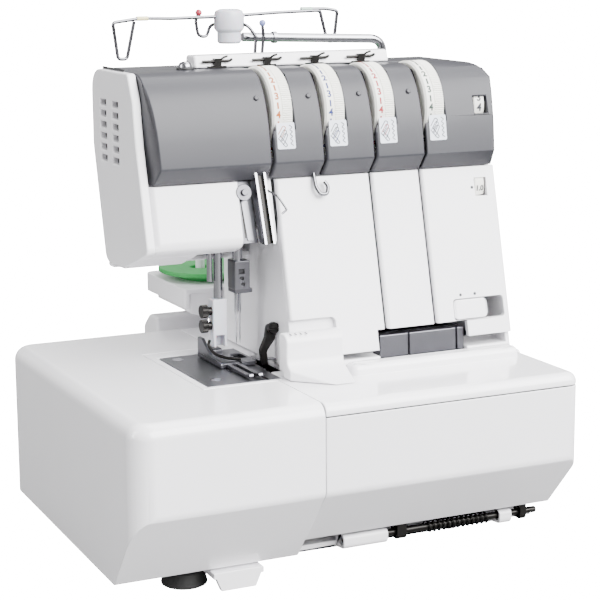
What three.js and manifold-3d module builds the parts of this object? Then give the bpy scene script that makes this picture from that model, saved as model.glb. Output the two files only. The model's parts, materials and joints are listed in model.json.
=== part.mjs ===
// Serger overlock machine, millimetres, +Z up, +Y to the rear, standing on z = 0.
// Every section is drawn as (y, z) points in the bench frame: x = 0 is the middle of the base,
// y = 0 is the front face of the base. The group is shifted at the end so that the origin is
// under the middle of the whole machine.
import * as THREE from "three";
import { mergeVertices } from "three/addons/utils/BufferGeometryUtils.js";
import Module from "manifold-3d";

const wasm = await Module();
wasm.setup();

// Driving dimensions
const baseHalf = 131.2; // half the width of the base
const baseDepth = 213.4;
const bedTop = 105.6; // height of the sewing bed
const bend = 56.7; // where the front face turns back into the lower bevel
const bevelFoot = { y: 35, z: 13 }; // lower front edge of the extension table
const coverFoot = { y: 29.6, z: 23.3 }; // lower front edge of the looper cover
const coverLip = { y: 34, z: 21.6 }; // where its lower lip ends
const partingLine = 98.2; // between looper cover door and its lid
const seamX = -25.5; // between extension table and looper cover
const coverRear = 61.8;
const wall = 3; // moulded wall thickness
const gap = 0.4; // between neighbouring pieces
const headLeft = -91;
const headInner = -86; // inner face of the head side cover
const columnLeft = -11.6;
const columnRight = 129;
const seams = [-16, 16, 47.4, 79.5]; // thread slots of the four tensions
const slot = 0.8; // half the width of a thread slot
const armTop = 270.6;
const armRear = 167;
const topJoint = 128; // between tension covers and rear top cover
const needle = { x: -26.3, y: 112, tip: 115 };
const presser = { x: -36.6, y: 116 };
const shaftAxis = { y: 150, z: 84 }; // main shaft and handwheel
const rockAxis = { y: 154, z: 214 }; // needle rock shaft
const dialAxis = { y: 113, z: 246, radius: 26.5, width: 12.4 };
const lengthAxis = { y: 103.2, z: 246 }; // stitch length dial
const feedAxis = { y: 103.6, z: 199 }; // differential feed dial
const hingeAxis = { y: 36.2, z: 17.2 }; // looper cover hinge rod
const lifterAxis = { x: -51, z: 189.7 };
const wheelOut = 148.6; // outer face of the handwheel
const trayRear = 245;
const lean = 0.2424; // how far the white front leans back for each mm of height
const frontFoot = { y: 68.3, z: 115.7 }; // lowest point of the leaning front
const hub = { x: 7.3, y: 198, bottom: 279.7, top: 300.4 };
const poleX = 111.5;
const blockSpan = [44.4, 99.2]; // looper thread block

const machine = new THREE.Group();
machine.position.set(-(wheelOut - baseHalf) / 2, -trayRear / 2, 0);

const finishes = {
  whiteShell: { color: 0xeceaec, roughness: 0.35, metalness: 0 },
  glossWhite: { color: 0xf2f1f3, roughness: 0.15, metalness: 0 },
  greyShell: { color: 0x8b8b91, roughness: 0.4, metalness: 0 },
  dialWhite: { color: 0xe6e4dc, roughness: 0.45, metalness: 0 },
  steel: { color: 0x9a9a9c, roughness: 0.3, metalness: 1 },
  chrome: { color: 0xd0d0d4, roughness: 0.12, metalness: 1 },
  darkSteel: { color: 0x4b4b4e, roughness: 0.4, metalness: 0.9 },
  rubber: { color: 0x161616, roughness: 0.8, metalness: 0 },
  castMetal: { color: 0xa3a5a8, roughness: 0.6, metalness: 0.9 },
  paleHolder: { color: 0xc9c9d0, roughness: 0.25, metalness: 0.2 },
};

// Solids

function solid(geometry) {
  const bare = geometry.clone();
  bare.deleteAttribute("normal");
  bare.deleteAttribute("uv");
  const merged = mergeVertices(bare, 1e-4);
  const mesh = new wasm.Mesh({
    numProp: 3,
    vertProperties: new Float32Array(merged.attributes.position.array),
    triVerts: new Uint32Array(merged.index.array),
  });
  return new wasm.Manifold(mesh);
}

function join(first, ...others) {
  return others.reduce((whole, piece) => whole.add(piece), first);
}

function cut(body, ...tools) {
  return tools.reduce((left, tool) => left.subtract(tool), body);
}

function box([x0, x1], [y0, y1], [z0, z1]) {
  const geometry = new THREE.BoxGeometry(x1 - x0, y1 - y0, z1 - z0);
  geometry.translate((x0 + x1) / 2, (y0 + y1) / 2, (z0 + z1) / 2);
  return solid(geometry);
}

// Corners are [u, v] or [u, v, radius]; a radius rounds the corner with a few flats.
function outline(corners, steps = 5) {
  const points = [];
  corners.forEach(([u, v, radius = 0], i) => {
    const here = new THREE.Vector2(u, v);
    if (radius <= 0) {
      points.push(here);
      return;
    }
    const [pu, pv] = corners[(i + corners.length - 1) % corners.length];
    const [nu, nv] = corners[(i + 1) % corners.length];
    const back = new THREE.Vector2(pu - u, pv - v).normalize();
    const ahead = new THREE.Vector2(nu - u, nv - v).normalize();
    const half = Math.acos(back.dot(ahead)) / 2;
    const start = here.clone().addScaledVector(back, radius / Math.tan(half));
    const end = here.clone().addScaledVector(ahead, radius / Math.tan(half));
    const inward = back.clone().add(ahead).normalize();
    const middle = here.clone().addScaledVector(inward, radius / Math.sin(half));
    const from = start.clone().sub(middle).angle();
    let turn = end.clone().sub(middle).angle() - from;
    if (turn > Math.PI) turn -= 2 * Math.PI;
    if (turn < -Math.PI) turn += 2 * Math.PI;
    for (let s = 0; s <= steps; s += 1) {
      const angle = from + (turn * s) / steps;
      const spoke = new THREE.Vector2(Math.cos(angle), Math.sin(angle));
      points.push(middle.clone().addScaledVector(spoke, radius));
    }
  });
  return points;
}

// Moves every side of a counterclockwise outline inwards.
function inset(corners, distance) {
  return corners.map(([u, v, radius = 0], i) => {
    const [pu, pv] = corners[(i + corners.length - 1) % corners.length];
    const [nu, nv] = corners[(i + 1) % corners.length];
    const before = new THREE.Vector2(pv - v, u - pu).normalize();
    const after = new THREE.Vector2(v - nv, nu - u).normalize();
    const reach = distance / (1 + before.dot(after));
    const moved = before.add(after).multiplyScalar(reach);
    return [u + moved.x, v + moved.y, Math.max(radius - distance, 0)];
  });
}

// The path moved sideways to the left of its own direction.
function moved(path, distance) {
  const sides = path.slice(1).map(([u, v], i) => {
    const side = new THREE.Vector2(path[i][1] - v, u - path[i][0]);
    return side.normalize();
  });
  return path.map(([u, v], i) => {
    const before = sides[Math.max(i - 1, 0)];
    const after = sides[Math.min(i, sides.length - 1)];
    const reach = distance / (1 + before.dot(after));
    return [u + (before.x + after.x) * reach, v + (before.y + after.y) * reach];
  });
}

// A sheet of even thickness on the left of a path.
function sheet(path, thickness) {
  return [...path, ...moved(path, thickness).reverse()];
}

function extrude(points, depth) {
  return new THREE.ExtrudeGeometry(new THREE.Shape(points), { depth, bevelEnabled: false });
}

function prismX(corners, [x0, x1], steps) {
  const geometry = extrude(outline(corners, steps), x1 - x0);
  const turn = new THREE.Matrix4().makeBasis(
    new THREE.Vector3(0, 1, 0),
    new THREE.Vector3(0, 0, 1),
    new THREE.Vector3(1, 0, 0),
  );
  geometry.applyMatrix4(turn);
  geometry.translate(x0, 0, 0);
  return solid(geometry);
}

function prismY(corners, [y0, y1], steps) {
  const geometry = extrude(outline(corners, steps), y1 - y0);
  geometry.rotateX(Math.PI / 2);
  geometry.translate(0, y1, 0);
  return solid(geometry);
}

function prismZ(corners, [z0, z1], steps) {
  const geometry = extrude(outline(corners, steps), z1 - z0);
  geometry.translate(0, 0, z0);
  return solid(geometry);
}

function roundX(radius, [x0, x1], y, z, sides = 16) {
  const geometry = new THREE.CylinderGeometry(radius, radius, x1 - x0, sides);
  geometry.rotateZ(-Math.PI / 2);
  geometry.translate((x0 + x1) / 2, y, z);
  return solid(geometry);
}

function roundY(radius, x, [y0, y1], z, sides = 16) {
  const geometry = new THREE.CylinderGeometry(radius, radius, y1 - y0, sides);
  geometry.translate(x, (y0 + y1) / 2, z);
  return solid(geometry);
}

function roundZ(radius, x, y, [z0, z1], sides = 16, topRadius = radius) {
  const geometry = new THREE.CylinderGeometry(topRadius, radius, z1 - z0, sides);
  geometry.rotateX(Math.PI / 2);
  geometry.translate(x, y, (z0 + z1) / 2);
  return solid(geometry);
}

// A round wire or rod through the points, with its corners rounded.
function rod(points, radius, bendRadius = 4, sides = 8) {
  const path = new THREE.CurvePath();
  let last = points[0];
  points.slice(1, -1).forEach((corner, i) => {
    const before = last.clone().sub(corner);
    const after = points[i + 2].clone().sub(corner);
    const reach = Math.min(bendRadius, before.length() / 2.1, after.length() / 2.1);
    const enter = corner.clone().addScaledVector(before.normalize(), reach);
    const leave = corner.clone().addScaledVector(after.normalize(), reach);
    path.add(new THREE.LineCurve3(last, enter));
    path.add(new THREE.QuadraticBezierCurve3(enter, corner, leave));
    last = leave;
  });
  path.add(new THREE.LineCurve3(last, points[points.length - 1]));
  const section = new THREE.Shape();
  section.absarc(0, 0, radius, 0, 2 * Math.PI);
  const spaced = path.getSpacedPoints(Math.max(4, Math.round(path.getLength() / 5)));
  const geometry = new THREE.ExtrudeGeometry(new THREE.Shape(section.getPoints(sides / 4)), {
    steps: spaced.length - 1,
    extrudePath: new THREE.CatmullRomCurve3(spaced),
    bevelEnabled: false,
  });
  return solid(geometry);
}

function point(x, y, z) {
  return new THREE.Vector3(x, y, z);
}

function add(name, body, finish) {
  const mesh = body.getMesh();
  const geometry = new THREE.BufferGeometry();
  geometry.setAttribute("position", new THREE.BufferAttribute(mesh.vertProperties, 3));
  geometry.setIndex(new THREE.BufferAttribute(mesh.triVerts, 1));
  const piece = new THREE.Mesh(geometry, new THREE.MeshStandardMaterial(finishes[finish]));
  piece.name = name;
  machine.add(piece);
}

// Distance of the leaning white front from y = 0 at a given height.
function frontAt(z) {
  return frontFoot.y + (z - frontFoot.z) * lean;
}

// Base

function basePan() {
  const plate = box([-112, 127], [42, 208], [12, 15.4]);
  const tongue = box([-77, -48], [30.5, 60], [8.6, 12]);
  const stand = prismY([[-77, 12], [-72.6, 1.5], [-52.6, 1.5], [-48, 12]], [30.5, 34]);
  const lugs = [[0.6, 28], [100, 108]].map((span) => {
    return prismX([[31.8, 13, 3.2], [42.5, 12, 1], [42.5, 20.8, 1], [31.8, 20.8, 2.6]], span);
  });
  const bore = roundX(2.9, [-1, 130], hingeAxis.y, hingeAxis.z);
  return cut(join(plate, tongue, stand, ...lugs), bore);
}

function rubberFoot(x, y) {
  const geometry = new THREE.LatheGeometry([
    new THREE.Vector2(0, 0),
    new THREE.Vector2(11.5, 0),
    new THREE.Vector2(12.8, 1.5),
    new THREE.Vector2(11, 8.2),
    new THREE.Vector2(0, 8.2),
  ], 16);
  geometry.rotateX(Math.PI / 2);
  geometry.translate(x, y, 0);
  return solid(geometry);
}

function baseCasing() {
  const section = [
    [62.4, 16],
    [baseDepth, 17.5, 6],
    [baseDepth, bedTop, 10],
    [62.4, bedTop, 1.5],
  ];
  const left = seamX + gap;
  const outer = prismX(section, [left, baseHalf]);
  const inner = prismX(inset(section, wall), [left + wall, baseHalf - wall]);
  return cut(
    outer,
    inner,
    box([left + wall, baseHalf - wall], [65.4, 208], [10, 22]), // open underside
    box([left - 1, left + wall + 1], [66, 142], [52, 98]), // towards the free arm
    box([left - 1, -21.7], [50, 138], [103.2, 110]), // seat of the needle plate
    box([left - 1, -10.5], [78, 122], [97, 110]), // room for the knives and the right needle
    box([-6, 124], [100, 166], [100, 110]), // up into the column
    roundX(7, [120, 140], shaftAxis.y, shaftAxis.z),
    box([120, 140], [184, 204], [56, 74]), // mains inlet
    box([120, 140], [160, 178], [30, 46]), // power switch
  );
}

function machineFrame() {
  const floor = box([-18, 122], [72, 161], [19, 25]);
  const back = box([-4, 106], [157, 161], [19, 250]);
  const arm = box([-82, 106], [157, 161], [224, 250]);
  const bearings = [[8, 14], [96, 102]].map((span) => box(span, [139, 160], [22, 98]));
  const lugs = [[-20, -15], [8, 12]].map((span) => {
    return box(span, [147, 157.9], [rockAxis.z - 8, 226]);
  });
  return cut(
    join(floor, back, arm, ...bearings, ...lugs),
    roundX(5.6, [0, 110], shaftAxis.y, shaftAxis.z),
    roundX(4.5, [-30, 20], rockAxis.y, rockAxis.z),
  );
}

function freeArm() {
  const left = -70;
  const right = seamX - 0.1;
  const outer = prismX([[58, 48, 3], [150, 48, 3], [150, bedTop], [58, bedTop, 1]], [left, right]);
  return cut(
    outer,
    box([left + wall, right + 1], [61, 147], [51, 102.6]),
    box([left + 6, right + 1], [55, 64], [56, 97]), // front window over the loopers
    box([-66, right + 1], [61.8, 137.9], [103.2, 110]), // seat of the needle plate
    box([-62, right + 1], [66, 132], [100, 110]),
  );
}

function extensionTable() {
  const section = [
    [bevelFoot.y, bevelFoot.z, 2],
    [baseDepth, 17.5, 6],
    [baseDepth, bedTop, 10],
    [0, bedTop, 9],
    [0, bend, 5],
  ];
  const right = seamX - gap;
  const plan = [[-baseHalf, 0, 14], [right, 0], [right, baseDepth], [-baseHalf, baseDepth, 14]];
  const outer = prismX(section, [-baseHalf, right]).intersect(prismZ(plan, [0, 120], 4));
  const innerPlan = inset(plan, wall).map(([x, y, r]) => [x > -40 ? right + 1 : x, y, r]);
  const inner = prismX(inset(section, wall), [-baseHalf + wall, right + 1]);
  return cut(
    outer,
    inner.intersect(prismZ(innerPlan, [0, 120], 4)),
    box([-baseHalf + 14, right + 1], [41, 206], [5, 22]), // open underside
    box([-70.5, right + 1], [57.5, 150.5], [96, 112]), // around the free arm
  );
}

// Looper cover

function looperCover() {
  const span = [seamX, baseHalf];
  const path = [
    [0, partingLine],
    [0, bend],
    [coverFoot.y, coverFoot.z],
    [coverLip.y, coverLip.z],
  ];
  const front = prismX(sheet(path, wall), span);
  const cheekSection = [
    [coverFoot.y + 0.5, coverFoot.z],
    [coverRear, coverFoot.z],
    [coverRear, partingLine],
    [0.5, partingLine],
    [0.5, bend],
  ];
  const cheek = prismX(cheekSection, [baseHalf - wall, baseHalf]);
  const knuckles = [[34, 40], [114, 118]].map((place) => {
    return prismX([[32.4, 22.6], [32.4, 24.4], [35, 24.4], [40.2, 20], [40.2, 13.4, 2.6], [32.2, 13.4, 2.6]], place);
  });
  const bore = roundX(2.9, [20, 125], hingeAxis.y, hingeAxis.z);
  return cut(join(front, cheek, ...knuckles), bore);
}

function looperCoverLid() {
  const section = [[0, partingLine + gap], [coverRear, partingLine + gap], [coverRear, bedTop], [0, bedTop, 6]];
  const shell = cut(
    prismX(section, [seamX, baseHalf]),
    box([seamX + 1.5, baseHalf - wall], [wall, coverRear - wall], [90, bedTop - wall]),
  );
  const lip = prismX([[46.5, 105], [60, 105], [59, 111.6, 3], [48, 111.6, 3]], [15, 121]);
  return join(shell, lip);
}

function knifeGuard() {
  const bottom = bedTop + 0.3;
  const guardRear = frontAt(bottom) + 1.2; // slides past the front panels without touching them
  const section = [
    [34, bottom],
    [guardRear, bottom],
    [guardRear, 130, 1.5],
    [57.5, 130, 4],
    [57, 114],
  ];
  const plan = [[-21.5, 52], [-2, 33], [9, 33], [13.5, 60], [13.5, 72], [-21.5, 72]];
  const guard = prismX(section, [-22, 15]).intersect(prismZ(plan, [100, 140]));
  return cut(guard, box([-30, 20], [coverRear, 80], [100, 109]));
}

function hingeRod() {
  return roundX(2.3, [2, 126], hingeAxis.y, hingeAxis.z, 12);
}

// Column, arm and head

const bandCurve = new THREE.SplineCurve([
  new THREE.Vector2(112, armTop),
  new THREE.Vector2(107, 269.9),
  new THREE.Vector2(100, 266.4),
  new THREE.Vector2(92.6, 256),
  new THREE.Vector2(87.2, 240),
  new THREE.Vector2(84, 220.5),
]);
const bandPath = [[topJoint, armTop], ...bandCurve.getPoints(14).map((p) => [p.x, p.y]), [91.4, 211.4]];

// Plan limits of the grey band: each end face is cut back at a slant.
function bandPlan(distance) {
  const left = headInner + gap + distance;
  const right = columnRight - distance;
  return [[left, 99], [left + 5, 80], [right - 5, 80], [right, 99], [right, 300], [left, 300]];
}

function bandRegion(distance, span) {
  const below = 211.4 - distance * 4;
  const rear = topJoint + distance;
  const skin = moved(bandPath, distance);
  const section = [[rear, skin[0][1]], ...skin, [bandPath.at(-1)[0] + distance * 2, below], [rear, below]];
  return prismX(section, span).intersect(prismZ(bandPlan(distance), [150, 300]));
}

function endRounding() {
  return prismY([[-200, 90], [columnRight, 90], [columnRight, armTop, 12], [-200, armTop]], [0, 300]);
}

function tensionCover(index) {
  const first = index === 0;
  const last = index === seams.length;
  const x0 = first ? headInner + gap : seams[index - 1] + slot;
  const x1 = last ? columnRight : seams[index] - slot;
  const outer = bandRegion(0, [x0, x1]).intersect(endRounding());
  const hollowLeft = first ? x0 + 1 : x0 - 1;
  const hollowRight = last ? x1 : x1 + 1;
  const cutters = [bandRegion(wall, [hollowLeft, hollowRight])];
  if (!first) {
    cutters.push(box([-16, 140], [96.9, 140], [200, 261.4])); // clear of the column casing behind
    cutters.push(box([-16, 140], [101, 140], [200, 266.9]));
    const room = [x0 - 2, x0 + dialAxis.width + 1.4];
    cutters.push(box(room, [70, 131], [239.6, 290]));
    cutters.push(roundX(dialAxis.radius + 0.5, room, dialAxis.y, dialAxis.z, 40));
  }
  if (last) {
    cutters.push(box([113.6, 122.2], [70, 100], [241.7, 251.6]));
    cutters.push(roundX(13.4, [113.6, 122.2], lengthAxis.y, lengthAxis.z, 32));
  }
  return cut(outer, ...cutters);
}

function topCover() {
  const path = [[armRear + 0.4, 262], [armRear + 0.4 - 1.6, 267.6], [armRear - 6.5, armTop], [topJoint + gap, armTop]];
  return prismX(sheet(path, wall), [headInner + gap, columnRight]).intersect(endRounding());
}

function frontSheet([x0, x1], low, high) {
  return prismX(sheet([[frontAt(high), high], [frontAt(low), low]], wall), [x0, x1]);
}

function frontPanels() {
  const high = 210.9;
  const blockRoom = box([blockSpan[0] - 3, blockSpan[1] + 0.6], [60, 90], [100, 124.6]);
  const left = cut(
    frontSheet([columnLeft, seams[2] - slot], 113.4, high),
    box([-20, 15.9], [60, 95], [100, 134.4]),
    blockRoom,
  );
  const middle = frontSheet([seams[2] + slot, seams[3] - slot], 124.6, high);
  const right = cut(
    frontSheet([seams[3] + slot, columnRight], frontFoot.z, high),
    blockRoom,
    box([114.4, 122.4], [70, 100], [193.8, 204.4]), // differential feed window
    roundX(14.6, [114.4, 122.4], feedAxis.y, feedAxis.z, 32),
    box([91.8, 125.2], [60, 90], [124.8, 136.9]), // slider slot
  );
  return { left, middle, right };
}

function columnCasing() {
  const section = [
    [frontAt(106.4) + 3.6, 106.4],
    [armRear, 106.4],
    [armRear, 260.8],
    [armRear - 4, 260.8],
    [armRear - 8.5, 266.4],
    [110, 266.4],
    [104, 262],
    [99.6, 252],
    [97.4, 240],
    [97.4, 210.6],
    [frontAt(208) + 3.6, 208],
  ];
  const outer = prismX(section, [columnLeft, columnRight]).intersect(endRounding());
  const hollow = inset(section, wall);
  return cut(
    outer,
    prismX(hollow, [columnLeft + wall, columnRight - wall]),
    box([columnLeft + wall, columnRight - wall], [60, 112], [109.4, 290]), // open front
    box([columnLeft + wall, columnRight - wall], [60, 164], [255, 290]), // open top
    box([columnLeft + wall, columnRight - wall], [96, 166], [100, 112]), // open to the base
    box([columnLeft - 1, columnLeft + wall + 1], [90, 161], [180, 290]), // open to the head
    box([blockSpan[0] - 1, blockSpan[1] + 0.6], [60, 82.4], [100, 121]), // around the thread block
  );
}

function headSection() {
  return [
    [82.4, 176.4, 4],
    [121, 162.4, 8],
    [150, 162.4, 7],
    [armRear, 228, 20],
    [armRear, armTop, 12],
    [108, armTop, 3],
    [101, 256],
    [97, 232],
    [91.3, 210.9],
  ];
}

function headCasing() {
  const section = headSection();
  const outer = prismX(section, [headLeft, columnLeft - gap]);
  const vents = [];
  for (const y of [124, 143.5]) {
    for (let row = 0; row < 6; row += 1) {
      const z = 219.8 + row * 6.2;
      vents.push(box([headLeft - 1, headInner + 1], [y, y + 10], [z, z + 3.4]));
    }
  }
  return cut(
    outer,
    prismX(inset(section, wall), [headInner, columnLeft]),
    box([headInner, columnLeft], [60, 97], [150, 300]), // closed by the front covers
    box([headInner, columnLeft], [60, 200], [260.8, 300]), // closed by the top covers
    box([headInner, columnLeft], [60, 112], [185, 300]),
    box([-56, columnLeft], [90, 128], [150, 185]), // needle and presser bar opening
    roundY(3.6, lifterAxis.x, [148, 180], lifterAxis.z), // lifter pin
    ...vents,
  );
}

function headFrontCover() {
  const path = [[91.3, 210.9], [82.5, 176.5], [95.4, 171.8]];
  return prismX(sheet(path, wall), [headInner + gap, -34.6]);
}

// Bright plate in the open side of the head, with the upright channel that guides the threads.
function facePlate() {
  const low = 177;
  const high = 210.8;
  const plate = prismX(
    sheet([[frontAt(high) + 4, high], [frontAt(low) + 4, low]], 1.5),
    [-34.2, -12.4],
  );
  const section = [
    [frontAt(low) - 2, low],
    [frontAt(low) + 4.4, low],
    [frontAt(high) + 4.4, high],
    [frontAt(high) - 2, high],
  ];
  const groove = section.map(([y, z], i) => {
    const edge = z === low ? low - 2 : high + 2;
    return [i === 1 || i === 2 ? y - 4 : y - 6, edge];
  });
  const channel = prismX(section, [-23.6, -13.2]);
  return cut(join(plate, channel), prismX(groove, [-21.4, -15.4]));
}

function threadGuideBar() {
  return prismX([[topJoint - 3, armTop + 0.3], [140, armTop + 0.3], [139, 277.8, 2], [127, 277.8, 2]], [-44.5, 77]);
}

function pressureScrew() {
  const base = roundZ(5.6, -51.7, 122, [armTop + 0.3, 272.6], 16);
  const dome = roundZ(3.8, -51.7, 122, [272, 276.6], 16, 2.2);
  return join(base, dome);
}

// Dials

function tensionDial(index) {
  const x0 = seams[index] + slot + 0.5;
  const wheel = roundX(dialAxis.radius, [x0, x0 + dialAxis.width], dialAxis.y, dialAxis.z, 40);
  return cut(wheel, roundX(3.5, [x0 - 1, x0 + 20], dialAxis.y, dialAxis.z, 12));
}

function smallDial(radius, [x0, x1], { y, z }) {
  return cut(roundX(radius, [x0, x1], y, z, 32), roundX(3, [x0 - 1, x1 + 1], y, z, 12));
}

function plateSlider() {
  const low = 125.4;
  const high = 136.3;
  const path = [[frontAt(high) + 0.6, high], [frontAt(low) + 0.6, low]];
  return prismX(sheet(path, 2), [92.4, 114.4]);
}

// Sewing parts

function needlePlate() {
  const plan = [[-65.6, 62.2, 9], [-22, 62.2], [-22, 137.5, 2], [-65.6, 137.5, 3]];
  const plate = prismZ(plan, [103.6, bedTop]);
  const slots = [-44, -39.6, -35.2].map((x) => box([x, x + 2.6], [70, 128], [100, 110]));
  const needleSlot = box([-29.6, -23.6], [107, 117], [100, 110]);
  const knifeNotch = box([-22.6, -20], [84, 104], [100, 110]);
  return cut(plate, ...slots, needleSlot, knifeNotch);
}

function feedDog() {
  const rows = [-43.6, -39.2, -34.8].map((x) => box([x, x + 1.8], [76, 122], [98, 105.4]));
  return join(box([-43.6, -33], [84, 114], [95, 98.5]), ...rows);
}

function presserFoot() {
  const sole = cut(
    prismZ([[-44, 96, 2], [-21.4, 98, 1], [-21.4, 130], [-44, 131]], [106, 108.4]),
    box([-29.8, -23.4], [106, 118], [100, 112]),
  );
  const toe = prismX([[95, 106], [103, 106], [103, 109.6, 1]], [-44, -30]);
  const ankle = box([-43, -33], [119, 130], [107.6, 112]);
  const prongs = [-40.4, -34.8].map((x) => box([x, x + 2.8], [64, 100], [106, 108.4]));
  return join(sole, toe, ankle, ...prongs);
}

function footHolder() {
  const body = prismX([[112, 114], [120, 114], [120, 142, 2], [112, 142, 2]], [-41.4, -32.6]);
  const knobs = [126.5, 135].map((z) => roundX(3.8, [-47.6, -41], presser.y, z, 12));
  const held = join(body, ...knobs);
  return cut(held, roundZ(2.9, presser.x, presser.y, [130, 150]));
}

function presserBar() {
  return roundZ(2.6, presser.x, presser.y, [130.3, 246]);
}

// The bar and the clamp block that grips both needles.
function needleBar() {
  const bar = roundZ(3.1, needle.x, needle.y, [160, 256]);
  const block = box([needle.x - 4, needle.x + 5.6], [106.5, 117.5], [147, 164]);
  const flange = box([needle.x - 4, needle.x + 7], [105.5, 118.5], [145.4, 148]);
  return join(bar, block, flange);
}

function needleAt(x, y) {
  const shank = roundZ(0.95, x, y, [needle.tip + 4, 145.1], 10);
  const tip = roundZ(0.15, x, y, [needle.tip, needle.tip + 4.2], 10, 0.95);
  return join(shank, tip);
}

function presserLifter() {
  const { x, z } = lifterAxis;
  const paddle = prismY([
    [x - 33, z - 33.5, 2],
    [x - 14, z - 34.5],
    [x + 3, z - 11],
    [x + 5, z + 3, 3],
    [x - 4, z + 3, 3],
    [x - 18, z - 28.5],
    [x - 33, z - 29, 2],
  ], [160.6, 166]);
  const pin = roundY(3, x, [151.5, 162], z);
  return join(paddle, pin);
}

function upperKnife() {
  const blade = box([-20.6, -18.8], [84, 98], [106.4, 128]);
  const arm = prismX([[84, 120], [128, 112], [128, 122], [96, 131], [84, 131]], [-18.9, -15]);
  const knob = roundX(4.6, [-15.4, -12.4], 90, 126, 12);
  return join(blade, arm, knob);
}

function lowerKnife() {
  return box([-22.4 + gap, -20.9], [86, 101], [84, 105.4]);
}

function threadBlock() {
  const block = prismX([[72.5, 107.2, 1], [82, 107.2], [82, 120.6], [73.5, 120.6, 1]], blockSpan);
  const grooves = [63, 94.3].map((x) => box([x - 0.5, x + 0.5], [70, 75], [100, 130]));
  return cut(block, ...grooves);
}

// Hidden stitch mechanism

function rockShaft() {
  const shaft = roundX(4, [-24.4, 14], rockAxis.y, rockAxis.z, 12);
  const lever = prismX([[116.5, 211], [150, 207], [158, 214], [150, 221], [116.5, 217]], [-22.4, -20.6]);
  return join(shaft, lever);
}

function upperLooper() {
  const stem = prismY([[-50, 60], [-45, 60], [-42, 81], [-47, 82]], [96, 99]);
  const hook = prismY([[-47, 80], [-42, 80], [-34, 91], [-36, 92.6]], [96, 99]);
  const pivot = roundY(4, -47.5, [92, 103], 60, 12);
  return join(stem, hook, pivot);
}

function lowerLooper() {
  const stem = prismY([[-63, 58], [-58, 58], [-55, 80], [-59, 80]], [106, 109]);
  const hook = prismY([[-59, 78], [-55, 77], [-33, 86], [-33, 87.6]], [106, 109]);
  const pivot = roundY(4, -60.5, [102, 113], 58, 12);
  return join(stem, hook, pivot);
}

function mainShaft() {
  const shaft = roundX(4.9, [2, 147], shaftAxis.y, shaftAxis.z, 16);
  const pulley = roundX(17, [112, 120], shaftAxis.y, shaftAxis.z, 28);
  return join(shaft, pulley);
}

function handwheel() {
  const profile = [
    [5.4, 132.2],
    [12, 132.2],
    [13, 137],
    [28, 137],
    [30, 133],
    [33, 133],
    [34, 136],
    [34, 145],
    [31, wheelOut],
    [5.4, wheelOut],
  ].map(([radius, x]) => new THREE.Vector2(radius, x));
  profile.push(profile[0].clone());
  const geometry = new THREE.LatheGeometry(profile, 32);
  geometry.rotateZ(-Math.PI / 2);
  geometry.translate(0, shaftAxis.y, shaftAxis.z);
  return solid(geometry);
}

function driveMotor() {
  const can = roundX(19, [40, 104], 187, 50, 20);
  const spindle = roundX(3, [103, 111], 187, 50, 12);
  const pulley = roundX(7, [110, 120], 187, 50, 16);
  return join(can, spindle, pulley);
}

// The belt runs round both pulleys: an outline of two arcs and two straight sides.
function beltLoop(smallRadius, largeRadius) {
  const from = new THREE.Vector2(shaftAxis.y, shaftAxis.z);
  const to = new THREE.Vector2(187, 50);
  const along = to.clone().sub(from);
  const heading = along.angle();
  const spread = Math.acos((largeRadius - smallRadius) / along.length());
  const points = [];
  for (let s = 0; s <= 12; s += 1) {
    const angle = heading + spread + ((2 * Math.PI - 2 * spread) * s) / 12;
    points.push([from.x + largeRadius * Math.cos(angle), from.y + largeRadius * Math.sin(angle)]);
  }
  for (let s = 0; s <= 6; s += 1) {
    const angle = heading - spread + (2 * spread * s) / 6;
    points.push([to.x + smallRadius * Math.cos(angle), to.y + smallRadius * Math.sin(angle)]);
  }
  return points;
}

function driveBelt() {
  const outer = prismX(beltLoop(9.3, 19.3), [112.5, 119]);
  return cut(outer, prismX(beltLoop(7.3, 17.3), [110, 122]));
}

// Thread stand

function spoolTray() {
  const top = 136;
  const shelf = prismZ([[-33, 176, 2], [125, 176, 2], [125, trayRear, 12], [-33, trayRear, 6]], [top - 3, top]);
  const rim = cut(
    prismZ([[-33, 176, 2], [125, 176, 2], [125, trayRear, 12], [-33, trayRear, 6]], [124.5, top - 1]),
    prismZ([[-30, 172], [122, 172], [122, trayRear - 3, 9], [-30, trayRear - 3, 3]], [120, top]),
  );
  const brackets = [[-28, -4], [96, 120]].map((span) => {
    return prismX([[180, bedTop + 0.3], [232, bedTop + 0.3, 4], [238, top - 2], [180, top - 2]], span);
  });
  const pins = [-8, 26, 60, 92].map((x) => roundZ(3, x, 213, [top - 1, 178], 12, 2.4));
  const poleTube = roundZ(5.4, poleX, hub.y, [top - 1, 252]);
  const bore = roundZ(3.2, poleX, hub.y, [140, 260]);
  return cut(join(shelf, rim, ...brackets, ...pins, poleTube), bore);
}

function guidePole() {
  return rod([
    point(poleX, hub.y, 146),
    point(poleX, hub.y, 274.6),
    point(hub.x + 10.5, hub.y, 281),
  ], 2.8, 12);
}

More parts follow.
